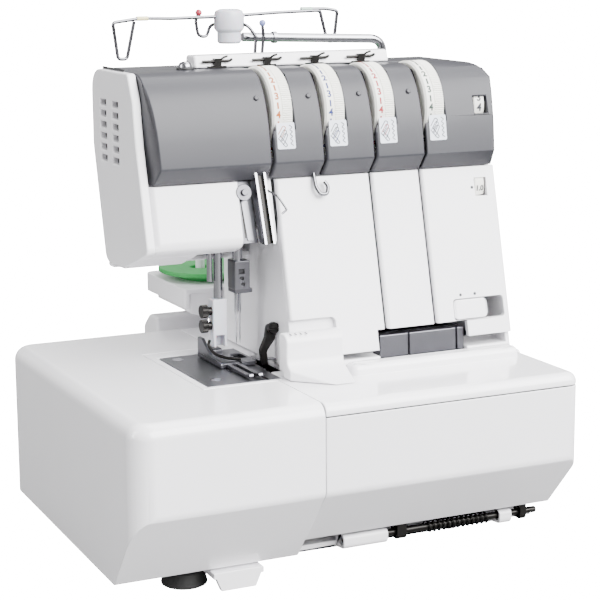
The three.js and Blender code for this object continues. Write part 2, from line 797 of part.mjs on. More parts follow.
function guideTree() {
  const head = roundZ(8.6, hub.x, hub.y, [291, hub.top], 20, 9.4);
  const neck = roundZ(7.4, hub.x, hub.y, [hub.bottom, 292], 20);
  const longRod = rod([
    point(-59.5, 193.5, 274),
    point(-56.6, 193.5, 294),
    point(hub.x, hub.y, 297),
    point(71.5, 202, 298.5),
    point(74.6, 202, 281),
  ], 1.5, 4);
  const leftReturn = rod([
    point(-59.5, 193.5, 274.4),
    point(-63.4, 193, 274.4),
    point(-66.5, 193, 292),
    point(-52, 193.6, 294.2),
  ], 1.5, 3);
  const rightReturn = rod([
    point(74.6, 202, 281.4),
    point(78.6, 202, 281.4),
    point(81.4, 202, 297.5),
    point(64, 201.6, 298.6),
  ], 1.5, 3);
  const rear = rod([
    point(hub.x - 4, hub.y + 4, 299),
    point(-4.5, 205, 299),
    point(-5.6, 205, 283),
  ], 1.4, 3);
  const front = rod([
    point(hub.x + 2, hub.y - 4, 296),
    point(19, 190, 289),
    point(21, 190, 271),
  ], 1.4, 3);
  return join(head, neck, longRod, leftReturn, rightReturn, rear, front);
}

function powerSwitch() {
  return box([baseHalf - 6, baseHalf + 1.6], [161, 177], [31, 45]);
}

function mainsInlet() {
  return cut(
    box([baseHalf - 9.5, baseHalf + 0.8], [184.6, 203.4], [56.6, 73.4]),
    box([baseHalf - 7.5, baseHalf + 5], [188, 200], [60, 70]),
  );
}

add("base_pan", basePan(), "whiteShell");
[[-84, 56], [91, 82], [-84, 188], [100, 188]].forEach(([x, y], i) => {
  const place = ["front_left", "front_right", "rear_left", "rear_right"][i];
  add(`foot_${place}`, rubberFoot(x, y), "rubber");
});
add("base_casing", baseCasing(), "whiteShell");
add("machine_frame", machineFrame(), "castMetal");
add("free_arm", freeArm(), "whiteShell");
add("extension_table", extensionTable(), "whiteShell");
add("looper_cover", looperCover(), "whiteShell");
add("looper_cover_lid", looperCoverLid(), "glossWhite");
add("knife_guard", knifeGuard(), "whiteShell");
add("hinge_rod", hingeRod(), "steel");
add("column_casing", columnCasing(), "whiteShell");
add("head_casing", headCasing(), "whiteShell");
add("head_front_cover", headFrontCover(), "whiteShell");
for (let index = 0; index <= seams.length; index += 1) {
  add(`tension_cover_${index + 1}`, tensionCover(index), "greyShell");
}
add("top_cover", topCover(), "greyShell");
const panels = frontPanels();
add("front_panel_left", panels.left, "whiteShell");
add("front_panel_middle", panels.middle, "whiteShell");
add("front_panel_right", panels.right, "whiteShell");
add("thread_guide_bar", threadGuideBar(), "whiteShell");
add("pressure_screw", pressureScrew(), "chrome");
for (let index = 0; index < seams.length; index += 1) {
  add(`tension_dial_${index + 1}`, tensionDial(index), "dialWhite");
}
add("tension_shaft", roundX(3, [seams[0] - 4, 100], dialAxis.y, dialAxis.z, 12), "steel");
add("stitch_length_dial", smallDial(13, [114.2, 121.6], lengthAxis), "dialWhite");
add("differential_feed_dial", smallDial(14, [115, 121.8], feedAxis), "dialWhite");
add("needle_plate_slider", plateSlider(), "glossWhite");
add("face_plate", facePlate(), "chrome");
add("needle_plate", needlePlate(), "darkSteel");
add("feed_dog", feedDog(), "steel");
add("presser_foot", presserFoot(), "chrome");
add("foot_holder", footHolder(), "paleHolder");
add("presser_bar", presserBar(), "chrome");
add("presser_lifter", presserLifter(), "whiteShell");
add("needle_bar", needleBar(), "chrome");
add("needle_left", needleAt(needle.x - 1.5, needle.y - 1), "chrome");
add("needle_right", needleAt(needle.x + 1.5, needle.y + 1), "chrome");
add("upper_knife", upperKnife(), "darkSteel");
add("lower_knife", lowerKnife(), "darkSteel");
add("thread_block", threadBlock(), "darkSteel");
add("rock_shaft", rockShaft(), "steel");
add("upper_looper", upperLooper(), "steel");
add("lower_looper", lowerLooper(), "steel");
add("main_shaft", mainShaft(), "steel");
add("handwheel", handwheel(), "whiteShell");
add("drive_motor", driveMotor(), "castMetal");
add("drive_belt", driveBelt(), "rubber");
add("spool_tray", spoolTray(), "glossWhite");
add("guide_pole", guidePole(), "chrome");
add("guide_tree", guideTree(), "whiteShell");
add("power_switch", powerSwitch(), "rubber");
add("mains_inlet", mainsInlet(), "rubber");

export default machine;
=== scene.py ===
import json
import math

import bpy
from mathutils import Matrix, Vector


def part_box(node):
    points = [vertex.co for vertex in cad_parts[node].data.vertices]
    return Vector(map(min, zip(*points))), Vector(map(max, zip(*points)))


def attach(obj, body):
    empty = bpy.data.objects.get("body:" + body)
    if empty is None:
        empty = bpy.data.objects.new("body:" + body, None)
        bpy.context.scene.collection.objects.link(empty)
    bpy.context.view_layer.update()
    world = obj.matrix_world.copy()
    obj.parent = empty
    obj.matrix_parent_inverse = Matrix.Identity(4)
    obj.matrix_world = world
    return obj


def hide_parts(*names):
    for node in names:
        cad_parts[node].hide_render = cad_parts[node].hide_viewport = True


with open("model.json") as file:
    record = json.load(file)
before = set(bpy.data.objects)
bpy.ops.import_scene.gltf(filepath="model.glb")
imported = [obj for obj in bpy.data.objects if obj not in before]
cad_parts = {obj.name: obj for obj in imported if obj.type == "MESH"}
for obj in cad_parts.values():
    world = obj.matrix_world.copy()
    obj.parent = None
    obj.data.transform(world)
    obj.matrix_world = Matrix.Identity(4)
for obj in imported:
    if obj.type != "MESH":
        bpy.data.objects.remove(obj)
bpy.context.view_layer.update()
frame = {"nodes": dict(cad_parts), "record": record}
nodes = frame["nodes"]
mm = 0.001

# Places are written in the bench frame: millimetres, x = 0 in the middle of the base,
# y = 0 at its front face and z = 0 on the table top.
baseHalf = 131.2
bench = Vector((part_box("looper_cover")[1].x - baseHalf * mm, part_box("extension_table")[0].y, 0))


def at(x, y, z):
    return bench + Vector((x, y, z)) * mm


def frontAt(z):
    return 68.3 + (z - 115.7) * 0.2424  # how far back the leaning white front is at a height


def colour(hexText):
    # sRGB hex to the linear values that shaders take
    parts = [int(hexText[i:i + 2], 16) / 255 for i in (1, 3, 5)]
    return [c / 12.92 if c <= 0.04045 else ((c + 0.055) / 1.055) ** 2.4 for c in parts] + [1.0]


def addNode(tree, kind, settings=None, **inputs):
    # one node with its settings; an input is a value or another node's output
    made = tree.nodes.new(kind)
    for name, value in (settings or {}).items():
        setattr(made, name, value)
    for name, value in inputs.items():
        socket = made.inputs[name.replace("_", " ")]
        if isinstance(value, bpy.types.NodeSocket):
            tree.links.new(value, socket)
        else:
            socket.default_value = value
    return made


def makeMaterial(name, look):
    made = bpy.data.materials.new(name)
    made.use_nodes = True
    tree = made.node_tree
    shader = tree.nodes["Principled BSDF"]
    for socket, value in look.get("sockets", {}).items():
        shader.inputs[socket].default_value = value
    place = addNode(tree, "ShaderNodeTexCoord").outputs["Object"]
    stretched = addNode(tree, "ShaderNodeMapping", Vector=place, Scale=look.get("stretch", (1, 1, 1)))
    grain = addNode(tree, "ShaderNodeTexNoise", Vector=stretched.outputs[0],
                    Scale=1 / (look["grain"] * mm), Detail=3.0).outputs["Fac"]
    cloud = addNode(tree, "ShaderNodeTexNoise", Vector=place,
                    Scale=1 / (look.get("cloud", 45) * mm), Detail=2.0).outputs["Fac"]
    base = colour(look["hex"])[:3]
    drift = look.get("drift", 0.02)
    shade = addNode(tree, "ShaderNodeValToRGB", Fac=cloud)
    shade.color_ramp.elements[0].position = 0.3
    shade.color_ramp.elements[1].position = 0.7
    shade.color_ramp.elements[0].color = [c * (1 - drift) for c in base] + [1]
    shade.color_ramp.elements[1].color = [min(1, c * (1 + drift)) for c in base] + [1]
    tree.links.new(shade.outputs["Color"], shader.inputs["Base Color"])
    spread = look.get("spread", 0.04)
    gloss = addNode(tree, "ShaderNodeMapRange", Value=grain)
    gloss.inputs["To Min"].default_value = look["roughness"] - spread
    gloss.inputs["To Max"].default_value = look["roughness"] + spread
    tree.links.new(gloss.outputs["Result"], shader.inputs["Roughness"])
    bump = addNode(tree, "ShaderNodeBump", Height=grain, Strength=look["bump"], Distance=0.05 * mm)
    tree.links.new(bump.outputs["Normal"], shader.inputs["Normal"])
    return made


# grain is the size of the surface texture in millimetres, cloud that of the slow colour drift
looks = {
    # satin ABS off a fine spark-eroded mould: soft wide highlights
    "whiteAbs": {"hex": "#f0eff2", "roughness": 0.3, "grain": 0.7, "bump": 0.1, "drift": 0.012,
                 "sockets": {"IOR": 1.53, "Coat Weight": 0.15, "Coat Roughness": 0.1}},
    # ABS off a polished mould: near mirror highlights on the bed and the lid
    "glossAbs": {"hex": "#f4f3f6", "roughness": 0.17, "grain": 0.9, "bump": 0.04, "drift": 0.01,
                 "sockets": {"IOR": 1.53, "Coat Weight": 0.4, "Coat Roughness": 0.05}},
    # silver-grey lacquer on ABS: faint metal flake under a satin skin
    "greyLacquer": {"hex": "#35353a", "roughness": 0.38, "grain": 0.5, "bump": 0.08, "drift": 0.03,
                    "sockets": {"IOR": 1.42}},
    # turned acetal dials, a little warmer than the shell
    "ivoryAcetal": {"hex": "#ecebe4", "roughness": 0.42, "grain": 0.6, "bump": 0.1, "drift": 0.02,
                    "sockets": {"IOR": 1.48}},
    # bright nickel-chrome plate: sharp dark and light reflections
    "chromePlate": {"hex": "#a9a9ae", "roughness": 0.12, "grain": 1.5, "bump": 0.03, "spread": 0.03,
                    "sockets": {"Metallic": 1.0}},
    # drawn steel wire with thin plating, darker than the chrome
    "platedWire": {"hex": "#77777b", "roughness": 0.14, "grain": 1.2, "bump": 0.05,
                   "sockets": {"Metallic": 1.0}},
    # surface-ground steel: fine lines along its length
    "groundSteel": {"hex": "#77777c", "roughness": 0.3, "grain": 0.5, "stretch": (0.06, 1, 1), "bump": 0.3,
                    "drift": 0.05, "sockets": {"Metallic": 1.0}},
    # blackened ground steel: needle plate, knives and thread block
    "blackenedSteel": {"hex": "#636368", "roughness": 0.33, "grain": 0.6, "stretch": (0.08, 1, 1),
                       "bump": 0.25, "drift": 0.08, "sockets": {"Metallic": 0.9}},
    # oil-black screws and springs
    "oilBlackSteel": {"hex": "#2a2928", "roughness": 0.3, "grain": 0.6, "bump": 0.2, "drift": 0.15,
                      "sockets": {"Metallic": 0.9}},
    # moulded nitrile rubber: dull and slightly grainy
    "blackRubber": {"hex": "#191919", "roughness": 0.72, "grain": 0.8, "bump": 0.5, "drift": 0.1},
    "blackNylon": {"hex": "#202022", "roughness": 0.45, "grain": 0.6, "bump": 0.2, "drift": 0.05},
    # pressure-cast zinc frame: grey with a coarse skin
    "castZinc": {"hex": "#9d9fa2", "roughness": 0.55, "grain": 1.4, "bump": 0.5, "drift": 0.06,
                 "sockets": {"Metallic": 0.9}},
    # pale acetal block that light enters a little
    "paleAcetal": {"hex": "#cfcfd8", "roughness": 0.25, "grain": 0.8, "bump": 0.05,
                   "sockets": {"Subsurface Weight": 0.2, "Subsurface Scale": 0.002}},
    # soft vinyl anti-slip sheet
    "greenVinyl": {"hex": "#2c9a49", "roughness": 0.5, "grain": 1.1, "bump": 0.4, "drift": 0.05},
    # pad-printing inks: thin and matt
    "greyInk": {"hex": "#37383d", "roughness": 0.55, "grain": 0.8, "bump": 0.05},
    "whiteInk": {"hex": "#f2f2f2", "roughness": 0.5, "grain": 0.8, "bump": 0.05},
    "paleBlueInk": {"hex": "#dfe4ee", "roughness": 0.45, "grain": 0.8, "bump": 0.05},
    "orangeInk": {"hex": "#a4540f", "roughness": 0.5, "grain": 0.8, "bump": 0.05},
    "blueInk": {"hex": "#26316e", "roughness": 0.5, "grain": 0.8, "bump": 0.05},
    "redInk": {"hex": "#9a1c28", "roughness": 0.5, "grain": 0.8, "bump": 0.05},
    "greenInk": {"hex": "#2b3b33", "roughness": 0.5, "grain": 0.8, "bump": 0.05},
    # dipped vinyl caps on the wire ends
    "redCap": {"hex": "#a23142", "roughness": 0.3, "grain": 0.8, "bump": 0.05},
    "blueCap": {"hex": "#7d86bb", "roughness": 0.3, "grain": 0.8, "bump": 0.05},
    "yellowCap": {"hex": "#e6dca8", "roughness": 0.3, "grain": 0.8, "bump": 0.05},
    "greenCap": {"hex": "#a3bdae", "roughness": 0.3, "grain": 0.8, "bump": 0.05},
}
finish = {name: makeMaterial(name, look) for name, look in looks.items()}
print("materials made")


def select(*pieces):
    bpy.ops.object.select_all(action="DESELECT")
    for piece in pieces:
        piece.select_set(True)
    bpy.context.view_layer.objects.active = pieces[0]


def applyModifier(piece, kind, **settings):
    select(piece)
    made = piece.modifiers.new(kind, kind)
    for name, value in settings.items():
        setattr(made, name, value)
    bpy.ops.object.modifier_apply(modifier=made.name)


def arcs(corners, steps=7):
    # corners are (u, v) or (u, v, radius), and a radius turns the corner into an arc
    points = []
    for i, corner in enumerate(corners):
        here = Vector(corner[:2])
        if len(corner) < 3:
            points.append(here)
            continue
        back = (Vector(corners[i - 1][:2]) - here).normalized()
        ahead = (Vector(corners[(i + 1) % len(corners)][:2]) - here).normalized()
        half = back.angle(ahead) / 2
        middle = here + (back + ahead).normalized() * corner[2] / math.sin(half)
        start = here + back * corner[2] / math.tan(half) - middle
        end = here + ahead * corner[2] / math.tan(half) - middle
        turn = start.angle_signed(end)
        for s in range(steps + 1):
            points.append(middle + Matrix.Rotation(-turn * s / steps, 2) @ start)
    return points


def prism(name, corners, axis, span, steps=7):
    # an outline across one axis, extruded along it
    points = arcs(corners, steps)
    bpy.ops.object.select_all(action="DESELECT")
    bpy.ops.mesh.primitive_circle_add(vertices=len(points), radius=mm, fill_type="NGON")
    piece = bpy.context.object
    piece.name = name
    start = span[0]
    for vertex, (u, v) in zip(piece.data.vertices, points):
        vertex.co = at(*{"x": (start, u, v), "y": (u, start, v), "z": (u, v, start)}[axis])
    along = Vector([float(axis == name) for name in "xyz"]) * (span[1] - span[0]) * mm
    bpy.ops.object.mode_set(mode="EDIT")
    bpy.ops.mesh.select_all(action="SELECT")
    bpy.ops.mesh.extrude_region_move(TRANSFORM_OT_translate={"value": along})
    bpy.ops.mesh.select_all(action="SELECT")
    bpy.ops.mesh.normals_make_consistent(inside=False)
    bpy.ops.object.mode_set(mode="OBJECT")
    return piece


def block(name, x, y, z):
    return prism(name, [(y[0], z[0]), (y[1], z[0]), (y[1], z[1]), (y[0], z[1])], "x", x)


def turned(name, profile, axis, centre, steps=48):
    # a closed outline of (radius, height) points spun about an axis through the centre
    bpy.ops.object.select_all(action="DESELECT")
    bpy.ops.mesh.primitive_circle_add(vertices=len(profile), radius=mm, fill_type="NOTHING")
    piece = bpy.context.object
    piece.name = name
    for vertex, (radius, height) in zip(piece.data.vertices, profile):
        vertex.co = Vector((radius, 0, height)) * mm
    bpy.ops.object.mode_set(mode="EDIT")
    bpy.ops.mesh.select_all(action="SELECT")
    bpy.ops.mesh.spin(steps=steps, angle=2 * math.pi, center=(0, 0, 0), axis=(0, 0, 1))
    bpy.ops.mesh.select_all(action="SELECT")
    bpy.ops.mesh.remove_doubles(threshold=0.002 * mm)
    bpy.ops.mesh.dissolve_degenerate(threshold=0.002 * mm)
    bpy.ops.mesh.select_all(action="SELECT")
    bpy.ops.mesh.normals_make_consistent(inside=False)
    bpy.ops.object.mode_set(mode="OBJECT")
    quarter = math.pi / 2
    turns = {"x": Matrix.Rotation(quarter, 4, "Y"), "y": Matrix.Rotation(-quarter, 4, "X"), "z": Matrix()}
    piece.data.transform(Matrix.Translation(at(*centre)) @ turns[axis])
    return piece


def wire(name, corners, radius, bend=3.0, sides=4):
    # a round wire through the corners, each corner eased over the bend length
    points = [Vector(corners[0])]
    for before, corner, after in zip(corners, corners[1:], corners[2:]):
        before, corner, after = Vector(before), Vector(corner), Vector(after)
        reach = min(bend, (before - corner).length / 2.1, (after - corner).length / 2.1)
        enter = corner + (before - corner).normalized() * reach
        leave = corner + (after - corner).normalized() * reach
        for s in range(7):
            t = s / 6
            points.append(enter * (1 - t) ** 2 + corner * 2 * t * (1 - t) + leave * t ** 2)
    points.append(Vector(corners[-1]))
    data = bpy.data.curves.new(name, "CURVE")
    data.dimensions = "3D"
    data.bevel_depth = radius * mm
    data.bevel_resolution = sides
    data.use_fill_caps = True
    line = data.splines.new("POLY")
    line.points.add(len(points) - 1)
    for point, place in zip(line.points, points):
        point.co = (*at(*place), 1)
    piece = bpy.data.objects.new(name, data)
    bpy.context.scene.collection.objects.link(piece)
    select(piece)
    bpy.ops.object.convert(target="MESH")
    piece = bpy.context.object
    bpy.ops.object.mode_set(mode="EDIT")
    bpy.ops.mesh.select_all(action="SELECT")
    bpy.ops.mesh.remove_doubles(threshold=0.002 * mm)
    bpy.ops.mesh.normals_make_consistent(inside=False)
    bpy.ops.object.mode_set(mode="OBJECT")
    return piece


def roundEdges(piece, wanted, radius, segments=6):
    # bevels the edges whose two ends, in bench millimetres, pass the test
    data = piece.data
    select(piece)
    for part in [*data.vertices, *data.polygons]:
        part.select = False
    for edge in data.edges:
        a, b = [(data.vertices[i].co - bench) / mm for i in edge.vertices]
        edge.select = bool(wanted(a, b))
    bpy.context.tool_settings.mesh_select_mode = (False, True, False)
    bpy.ops.object.mode_set(mode="EDIT")
    bpy.ops.mesh.bevel(offset=radius * mm, segments=segments, affect="EDGES", clamp_overlap=False)
    bpy.ops.object.mode_set(mode="OBJECT")


def rod(name, radius, length, axis, centre, steps=48):
    # a plain round bar that starts at the centre and runs along the axis
    return turned(name, [(0, 0), (radius, 0), (radius, length), (0, length)], axis, centre, steps)


def near(value, target, reach=0.05):
    return abs(value - target) < reach


def carve(piece, *tools):
    for tool in tools:
        applyModifier(piece, "BOOLEAN", object=tool, operation="DIFFERENCE", solver="EXACT")
        bpy.data.objects.remove(tool)
    return piece


def crossed(piece, other):
    applyModifier(piece, "BOOLEAN", object=other, operation="INTERSECT", solver="EXACT")
    bpy.data.objects.remove(other)
    return piece


def weld(piece, *others):
    for other in others:
        applyModifier(piece, "BOOLEAN", object=other, operation="UNION", solver="EXACT")
        bpy.data.objects.remove(other)
    return piece


def soften(piece, radius, segments=3, degrees=40):
    applyModifier(piece, "BEVEL", width=radius * mm, segments=segments, limit_method="ANGLE",
                  angle_limit=math.radians(degrees), use_clamp_overlap=False)
    return piece


def gather(pieces, name):
    # several closed shapes made one object
    select(*pieces)
    bpy.ops.object.join()
    pieces[0].name = name
    return pieces[0]


def wear(piece, finishName, body, slot, *replaced, degrees=38):
    piece.data.materials.clear()
    piece.data.materials.append(finish[finishName])
    for face in piece.data.polygons:
        face.material_index = 0
    select(piece)
    bpy.ops.object.shade_smooth_by_angle(angle=math.radians(degrees))
    applyModifier(piece, "WEIGHTED_NORMAL", keep_sharp=True)
    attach(piece, body)
    if replaced:
        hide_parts(*replaced)
    return piece


def fit(piece, finishName, nodeName, shownInstead=True, degrees=38):
    # rides with a frame node's body, and is usually shown instead of it
    replaced = [nodeName] if shownInstead else []
    return wear(piece, finishName, bodyOf[nodeName], slotOf[nodeName], *replaced, degrees=degrees)


def leaned(piece, depth=0):
    # sends a piece drawn against y = 0 back on to the leaning front
    for vertex in piece.data.vertices:
        vertex.co.y += (frontAt((vertex.co.z - bench.z) / mm) + depth) * mm
    return piece


def laid(piece, place, degrees):
    # turns a piece drawn at the bench origin about x, then sends it to its place
    turn = Matrix.Rotation(math.radians(degrees), 4, "X")
    piece.data.transform(Matrix.Translation(at(*place)) @ turn @ Matrix.Translation(-bench))
    return piece


def mergedCopy(nodeName, pieceName, flatness=0.5):
    # a frame node's own shape, merged, ready to be softened
    piece = bpy.data.objects.new(pieceName, nodes[nodeName].data.copy())
    bpy.context.scene.collection.objects.link(piece)
    select(piece)
    bpy.ops.object.mode_set(mode="EDIT")
    bpy.ops.mesh.select_all(action="SELECT")
    bpy.ops.mesh.remove_doubles(threshold=0.01 * mm)
    if flatness:
        bpy.ops.mesh.dissolve_limited(angle_limit=math.radians(flatness))
    bpy.ops.object.mode_set(mode="OBJECT")
    return piece


# slots and bodies that the record gives each frame node
slotOf = {row["node"]: row["material_slot"] for row in frame["record"]["subparts"]}
bodyOf = {name: body for body, members in frame["record"]["behaviour"]["bodies"].items() for name in members}
finishOfSlot = {
    "white_shell": "whiteAbs", "gloss_shell": "glossAbs", "grey_shell": "greyLacquer",
    "dial_white": "ivoryAcetal", "clear_holder": "paleAcetal", "rubber": "blackRubber",
    "dark_plastic": "blackNylon", "cast_frame": "castZinc", "dark_steel": "blackenedSteel",
    "steel": "groundSteel", "chrome": "chromePlate",
}
for name, cadNode in nodes.items():
    cadNode.data.materials.clear()
    cadNode.data.materials.append(finish[finishOfSlot[slotOf[name]]])

# the edge radius that the mould leaves on each shell
softShells = {
    "head_casing": 1.0, "column_casing": 0.8, "base_casing": 0.8, "base_pan": 0.5,
    "top_cover": 0.5, "free_arm": 0.5, "presser_lifter": 0.8,
}


def makeSoftShells():
    for nodeName, radius in softShells.items():
        piece = soften(mergedCopy(nodeName, nodeName + "_shell"), radius)
        fit(piece, finishOfSlot[slotOf[nodeName]], nodeName)


makeSoftShells()
print("kept shells softened")

# the bed: lengths in the bench frame, which several pieces share
bedTop = 105.6
coverSeam = -25.5

tableShape = {
    "left": -131.2, "rear": 213.4, "seamGap": 0.4, "wall": 3,
    "cornerRound": 12, "innerRound": 9, "topRound": 8, "frontBend": (0, 56.7, 7), "frontFoot": (35, 13, 2),
    "armRoom": ((57.5, 150.5), (96, 112)), "armEnd": -70.5, "openBelow": (42, 205), "edge": 0.4,
}


def makeExtensionTable():
    t = tableShape
    left, rear, wall = t["left"], t["rear"], t["wall"]
    right = coverSeam - t["seamGap"]
    side = [t["frontFoot"], (rear, 17.5, 6), (rear, bedTop), (0, bedTop), t["frontBend"]]
    piece = prism("extensionTable", side, "x", (left - 2, right), 9)
    plan = [(left, 0, t["cornerRound"]), (right, 0), (right, rear), (left, rear, t["cornerRound"])]
    crossed(piece, prism("plan", plan, "z", (5, 115), 10))

    def topRim(a, b):
        return near(a.z, bedTop) and near(b.z, bedTop) and not (near(a.x, right) and near(b.x, right))

    roundEdges(piece, topRim, t["topRound"], 8)
    inner = [(38.5, 16.3), (rear - wall, 20.4), (rear - wall, bedTop - wall), (wall, bedTop - wall),
             (wall, 58)]
    hollow = prism("hollow", inner, "x", (left + wall - 1, right + 5))
    plan = [(left + wall, wall, t["innerRound"]), (right + 6, wall), (right + 6, rear - wall),
            (left + wall, rear - wall, t["innerRound"])]
    crossed(hollow, prism("plan", plan, "z", (5, 115), 6))
    carve(piece, hollow,
          block("underside", (-116, right + 5), t["openBelow"], (5, 25)),
          block("armRoom", (t["armEnd"], right + 5), *t["armRoom"]))
    fit(soften(piece, t["edge"], 2, 60), "glossAbs", "extension_table")


doorShape = {
    "right": 131.2, "rear": 61.8, "cornerRound": 7, "wall": 3, "edge": 0.5,
    "outside": [(34, 21.6), (61.8, 23.3), (61.8, 98.2), (0, 98.2), (0, 56.7, 7), (29.6, 23.3, 2)],
    "inside": [(33, 10), (75, 10), (75, 120), (3, 120), (3, 57.7), (31.6, 25.2), (33, 24.7)],
    "knuckle": [(32.4, 22.6), (32.4, 24.4), (35, 24.4), (40.2, 20), (40.2, 13.4, 2.6), (32.2, 13.4, 2.6)],
    "knuckleSpans": ((34, 40), (114, 118)), "hinge": (36.2, 17.2), "bore": 2.9,
}


def makeLooperDoor():
    d = doorShape
    right, rear = d["right"], d["rear"]
    piece = prism("looperDoor", d["outside"], "x", (coverSeam, right + 2), 9)
    plan = [(coverSeam - 1, 0), (right, 0, d["cornerRound"]), (right, rear + 1), (coverSeam - 1, rear + 1)]
    crossed(piece, prism("plan", plan, "z", (5, 115), 10))
    carve(piece, prism("hollow", d["inside"], "x", (coverSeam - 5, right - d["wall"])))
    fit(soften(piece, d["edge"], 3, 50), "whiteAbs", "looper_cover")
    for i, span in enumerate(d["knuckleSpans"]):
        ear = prism("coverKnuckle_%d" % (i + 1), d["knuckle"], "x", span)
        carve(ear, rod("bore", d["bore"], 20, "x", (span[0] - 5, *d["hinge"])))
        fit(soften(ear, 0.3, 2, 50), "oilBlackSteel", "looper_cover")


lidShape = {
    "bottom": 98.9, "edgeRound": 5.5, "cornerRound": 7, "wall": 3, "endWall": 2, "edge": 0.4,
    "lip": [(46.5, 103), (60.5, 103), (59.5, 111.6), (48, 111.6)], "lipSpan": (15, 121), "lipRound": 3,
    # the last three keys place a black strip of painted shade in the joint under the lid
    "seamShade": (98.25, 98.85), "seamShadeInset": 0.7, "seamShadeWidth": 1.9,
}


def makeLooperLid():
    s = lidShape
    right, rear, wall = doorShape["right"], doorShape["rear"], s["wall"]
    piece = block("looperLid", (coverSeam, right), (0, rear), (s["bottom"], bedTop))

    def frontCorner(a, b):
        return near(a.x, right) and near(b.x, right) and near(a.y, 0) and near(b.y, 0)

    def topRim(a, b):
        front = min(a.y, b.y) < rear - 1
        return near(a.z, bedTop) and near(b.z, bedTop) and front and max(a.x, b.x) > coverSeam + 1

    roundEdges(piece, frontCorner, s["cornerRound"], 8)
    roundEdges(piece, topRim, s["edgeRound"], 8)
    hollow = ((coverSeam + s["endWall"], right - wall), (wall, rear - wall), (90, bedTop - wall))
    carve(piece, block("hollow", *hollow))
    lip = prism("lip", s["lip"], "x", s["lipSpan"])
    lipTop = s["lip"][2][1]
    roundEdges(lip, lambda a, b: abs(a.z - b.z) > 3, s["lipRound"], 6)
    roundEdges(lip, lambda a, b: near(a.z, lipTop) and near(b.z, lipTop), s["lipRound"], 6)
    weld(piece, lip)
    fit(soften(piece, s["edge"], 2, 55), "glossAbs", "looper_cover_lid")
    # a black strip in the joint between lid and door, painted shade in the seam
    inset, width = s["seamShadeInset"], s["seamShadeWidth"]
    outline = [(coverSeam + 0.6, inset), (right - inset, inset, 6.5), (right - inset, rear - 0.5),
               (coverSeam + 0.6, rear - 0.5)]
    seamShade = prism("coverSeamShade", outline, "z", s["seamShade"])
    room = inset + width
    carve(seamShade, block("hollow", (coverSeam - 5, right - room), (room, rear + 5), (95, 102)))
    fit(seamShade, "blackNylon", "looper_cover_lid", False)


guardShape = {
    "span": (-21.5, 13.5), "lift": 0.3, "rear": 67.1, "top": 130, "edge": 1.0,
    "leftTrim": [(-30, 30), (-2, 33), (-21.5, 52), (-30, 60)],
    "rightTrim": [(9, 20), (20, 20), (20, 60), (13.5, 60), (9, 33)],
    "marks": 4, "firstMark": -18.4, "markPitch": 3.1,
}


def makeKnifeGuard():
    g = guardShape
    bottom, rear, top = bedTop + g["lift"], g["rear"], g["top"]
    side = [(34, bottom), (rear, bottom), (rear, top, 2), (56.5, top, 5), (57, 113, 6)]
    piece = prism("knifeGuard", side, "x", g["span"])
    carve(piece, prism("trim", g["leftTrim"], "z", (100, 140)),
          prism("trim", g["rightTrim"], "z", (100, 140)),
          block("under", (-30, 20), (61.8, 80), (100, 109)))
    fit(soften(piece, g["edge"], 4, 50), "whiteAbs", "knife_guard")
    # slanting cutting width marks on its top
    marks = []
    for i in range(g["marks"]):
        x = g["firstMark"] + g["markPitch"] * i
        outline = [(x, 57.6), (x + 0.5, 57.6), (x + 1, 61.8), (x + 0.5, 61.8)]
        marks.append(prism("mark", outline, "z", (top - 0.1, top + 0.08)))
    fit(gather(marks, "guardMarks"), "greyInk", "knife_guard", False)


makeExtensionTable()
makeLooperDoor()
makeLooperLid()
makeKnifeGuard()
print("bed and looper cover made")

# panels and their cut-outs: spans across, then the height each one starts at
panelShape = {
    "wall": 3, "sideRound": 1.7, "footRound": 1.2, "edge": 0.35, "top": 210.9,
    "left": ((-11.6, 46.6), 113.4), "middle": ((48.2, 78.7), 124.6), "right": ((80.3, 129), 115.7),
    "notch": [(-20, 100), (15.9, 100), (15.9, 134.4, 3), (-20, 134.4)],
    "blockRoom": ((41.4, 99.8), (60, 90), (100, 124.6)),
    "window": ((114.4, 122.4), (60, 100), (193.8, 204.4)),
    "sliderRoom": [(91.8, 124.8, 2), (125.2, 124.8, 2), (125.2, 136.9, 2), (91.8, 136.9, 2)],
    "dialRoom": (14.6, 8.2, "x", (114.3, 103.6, 199), 64),
    "backingLow": 112, "backingHigh": 138, "backingDepth": (3.3, 5), "backingSpan": (-11.4, 16.4),
    # a black sheet behind the head's vents, painted shade in their depth
    "ventShade": ((-87.9, -87.3), (121.5, 156), (216, 272)),
}


def leaningSheet(name, span, low):
    # a sheet along the leaning front, with its outer side and foot edges rounded
    p = panelShape
    high, wall = p["top"], p["wall"]
    foot, head = frontAt(low), frontAt(high)
    side = [(foot, low), (foot + wall, low), (head + wall, high), (head, high)]
    piece = prism(name, side, "x", span)

    def outerSide(a, b):
        outer = near(a.y, frontAt(a.z)) and near(b.y, frontAt(b.z))
        return outer and abs(a.z - b.z) > 5

    def outerFoot(a, b):
        return near(a.z, low) and near(b.z, low) and near(a.y, foot) and near(b.y, foot)

    roundEdges(piece, outerSide, p["sideRound"], 5)
    roundEdges(piece, outerFoot, p["footRound"], 4)
    return piece


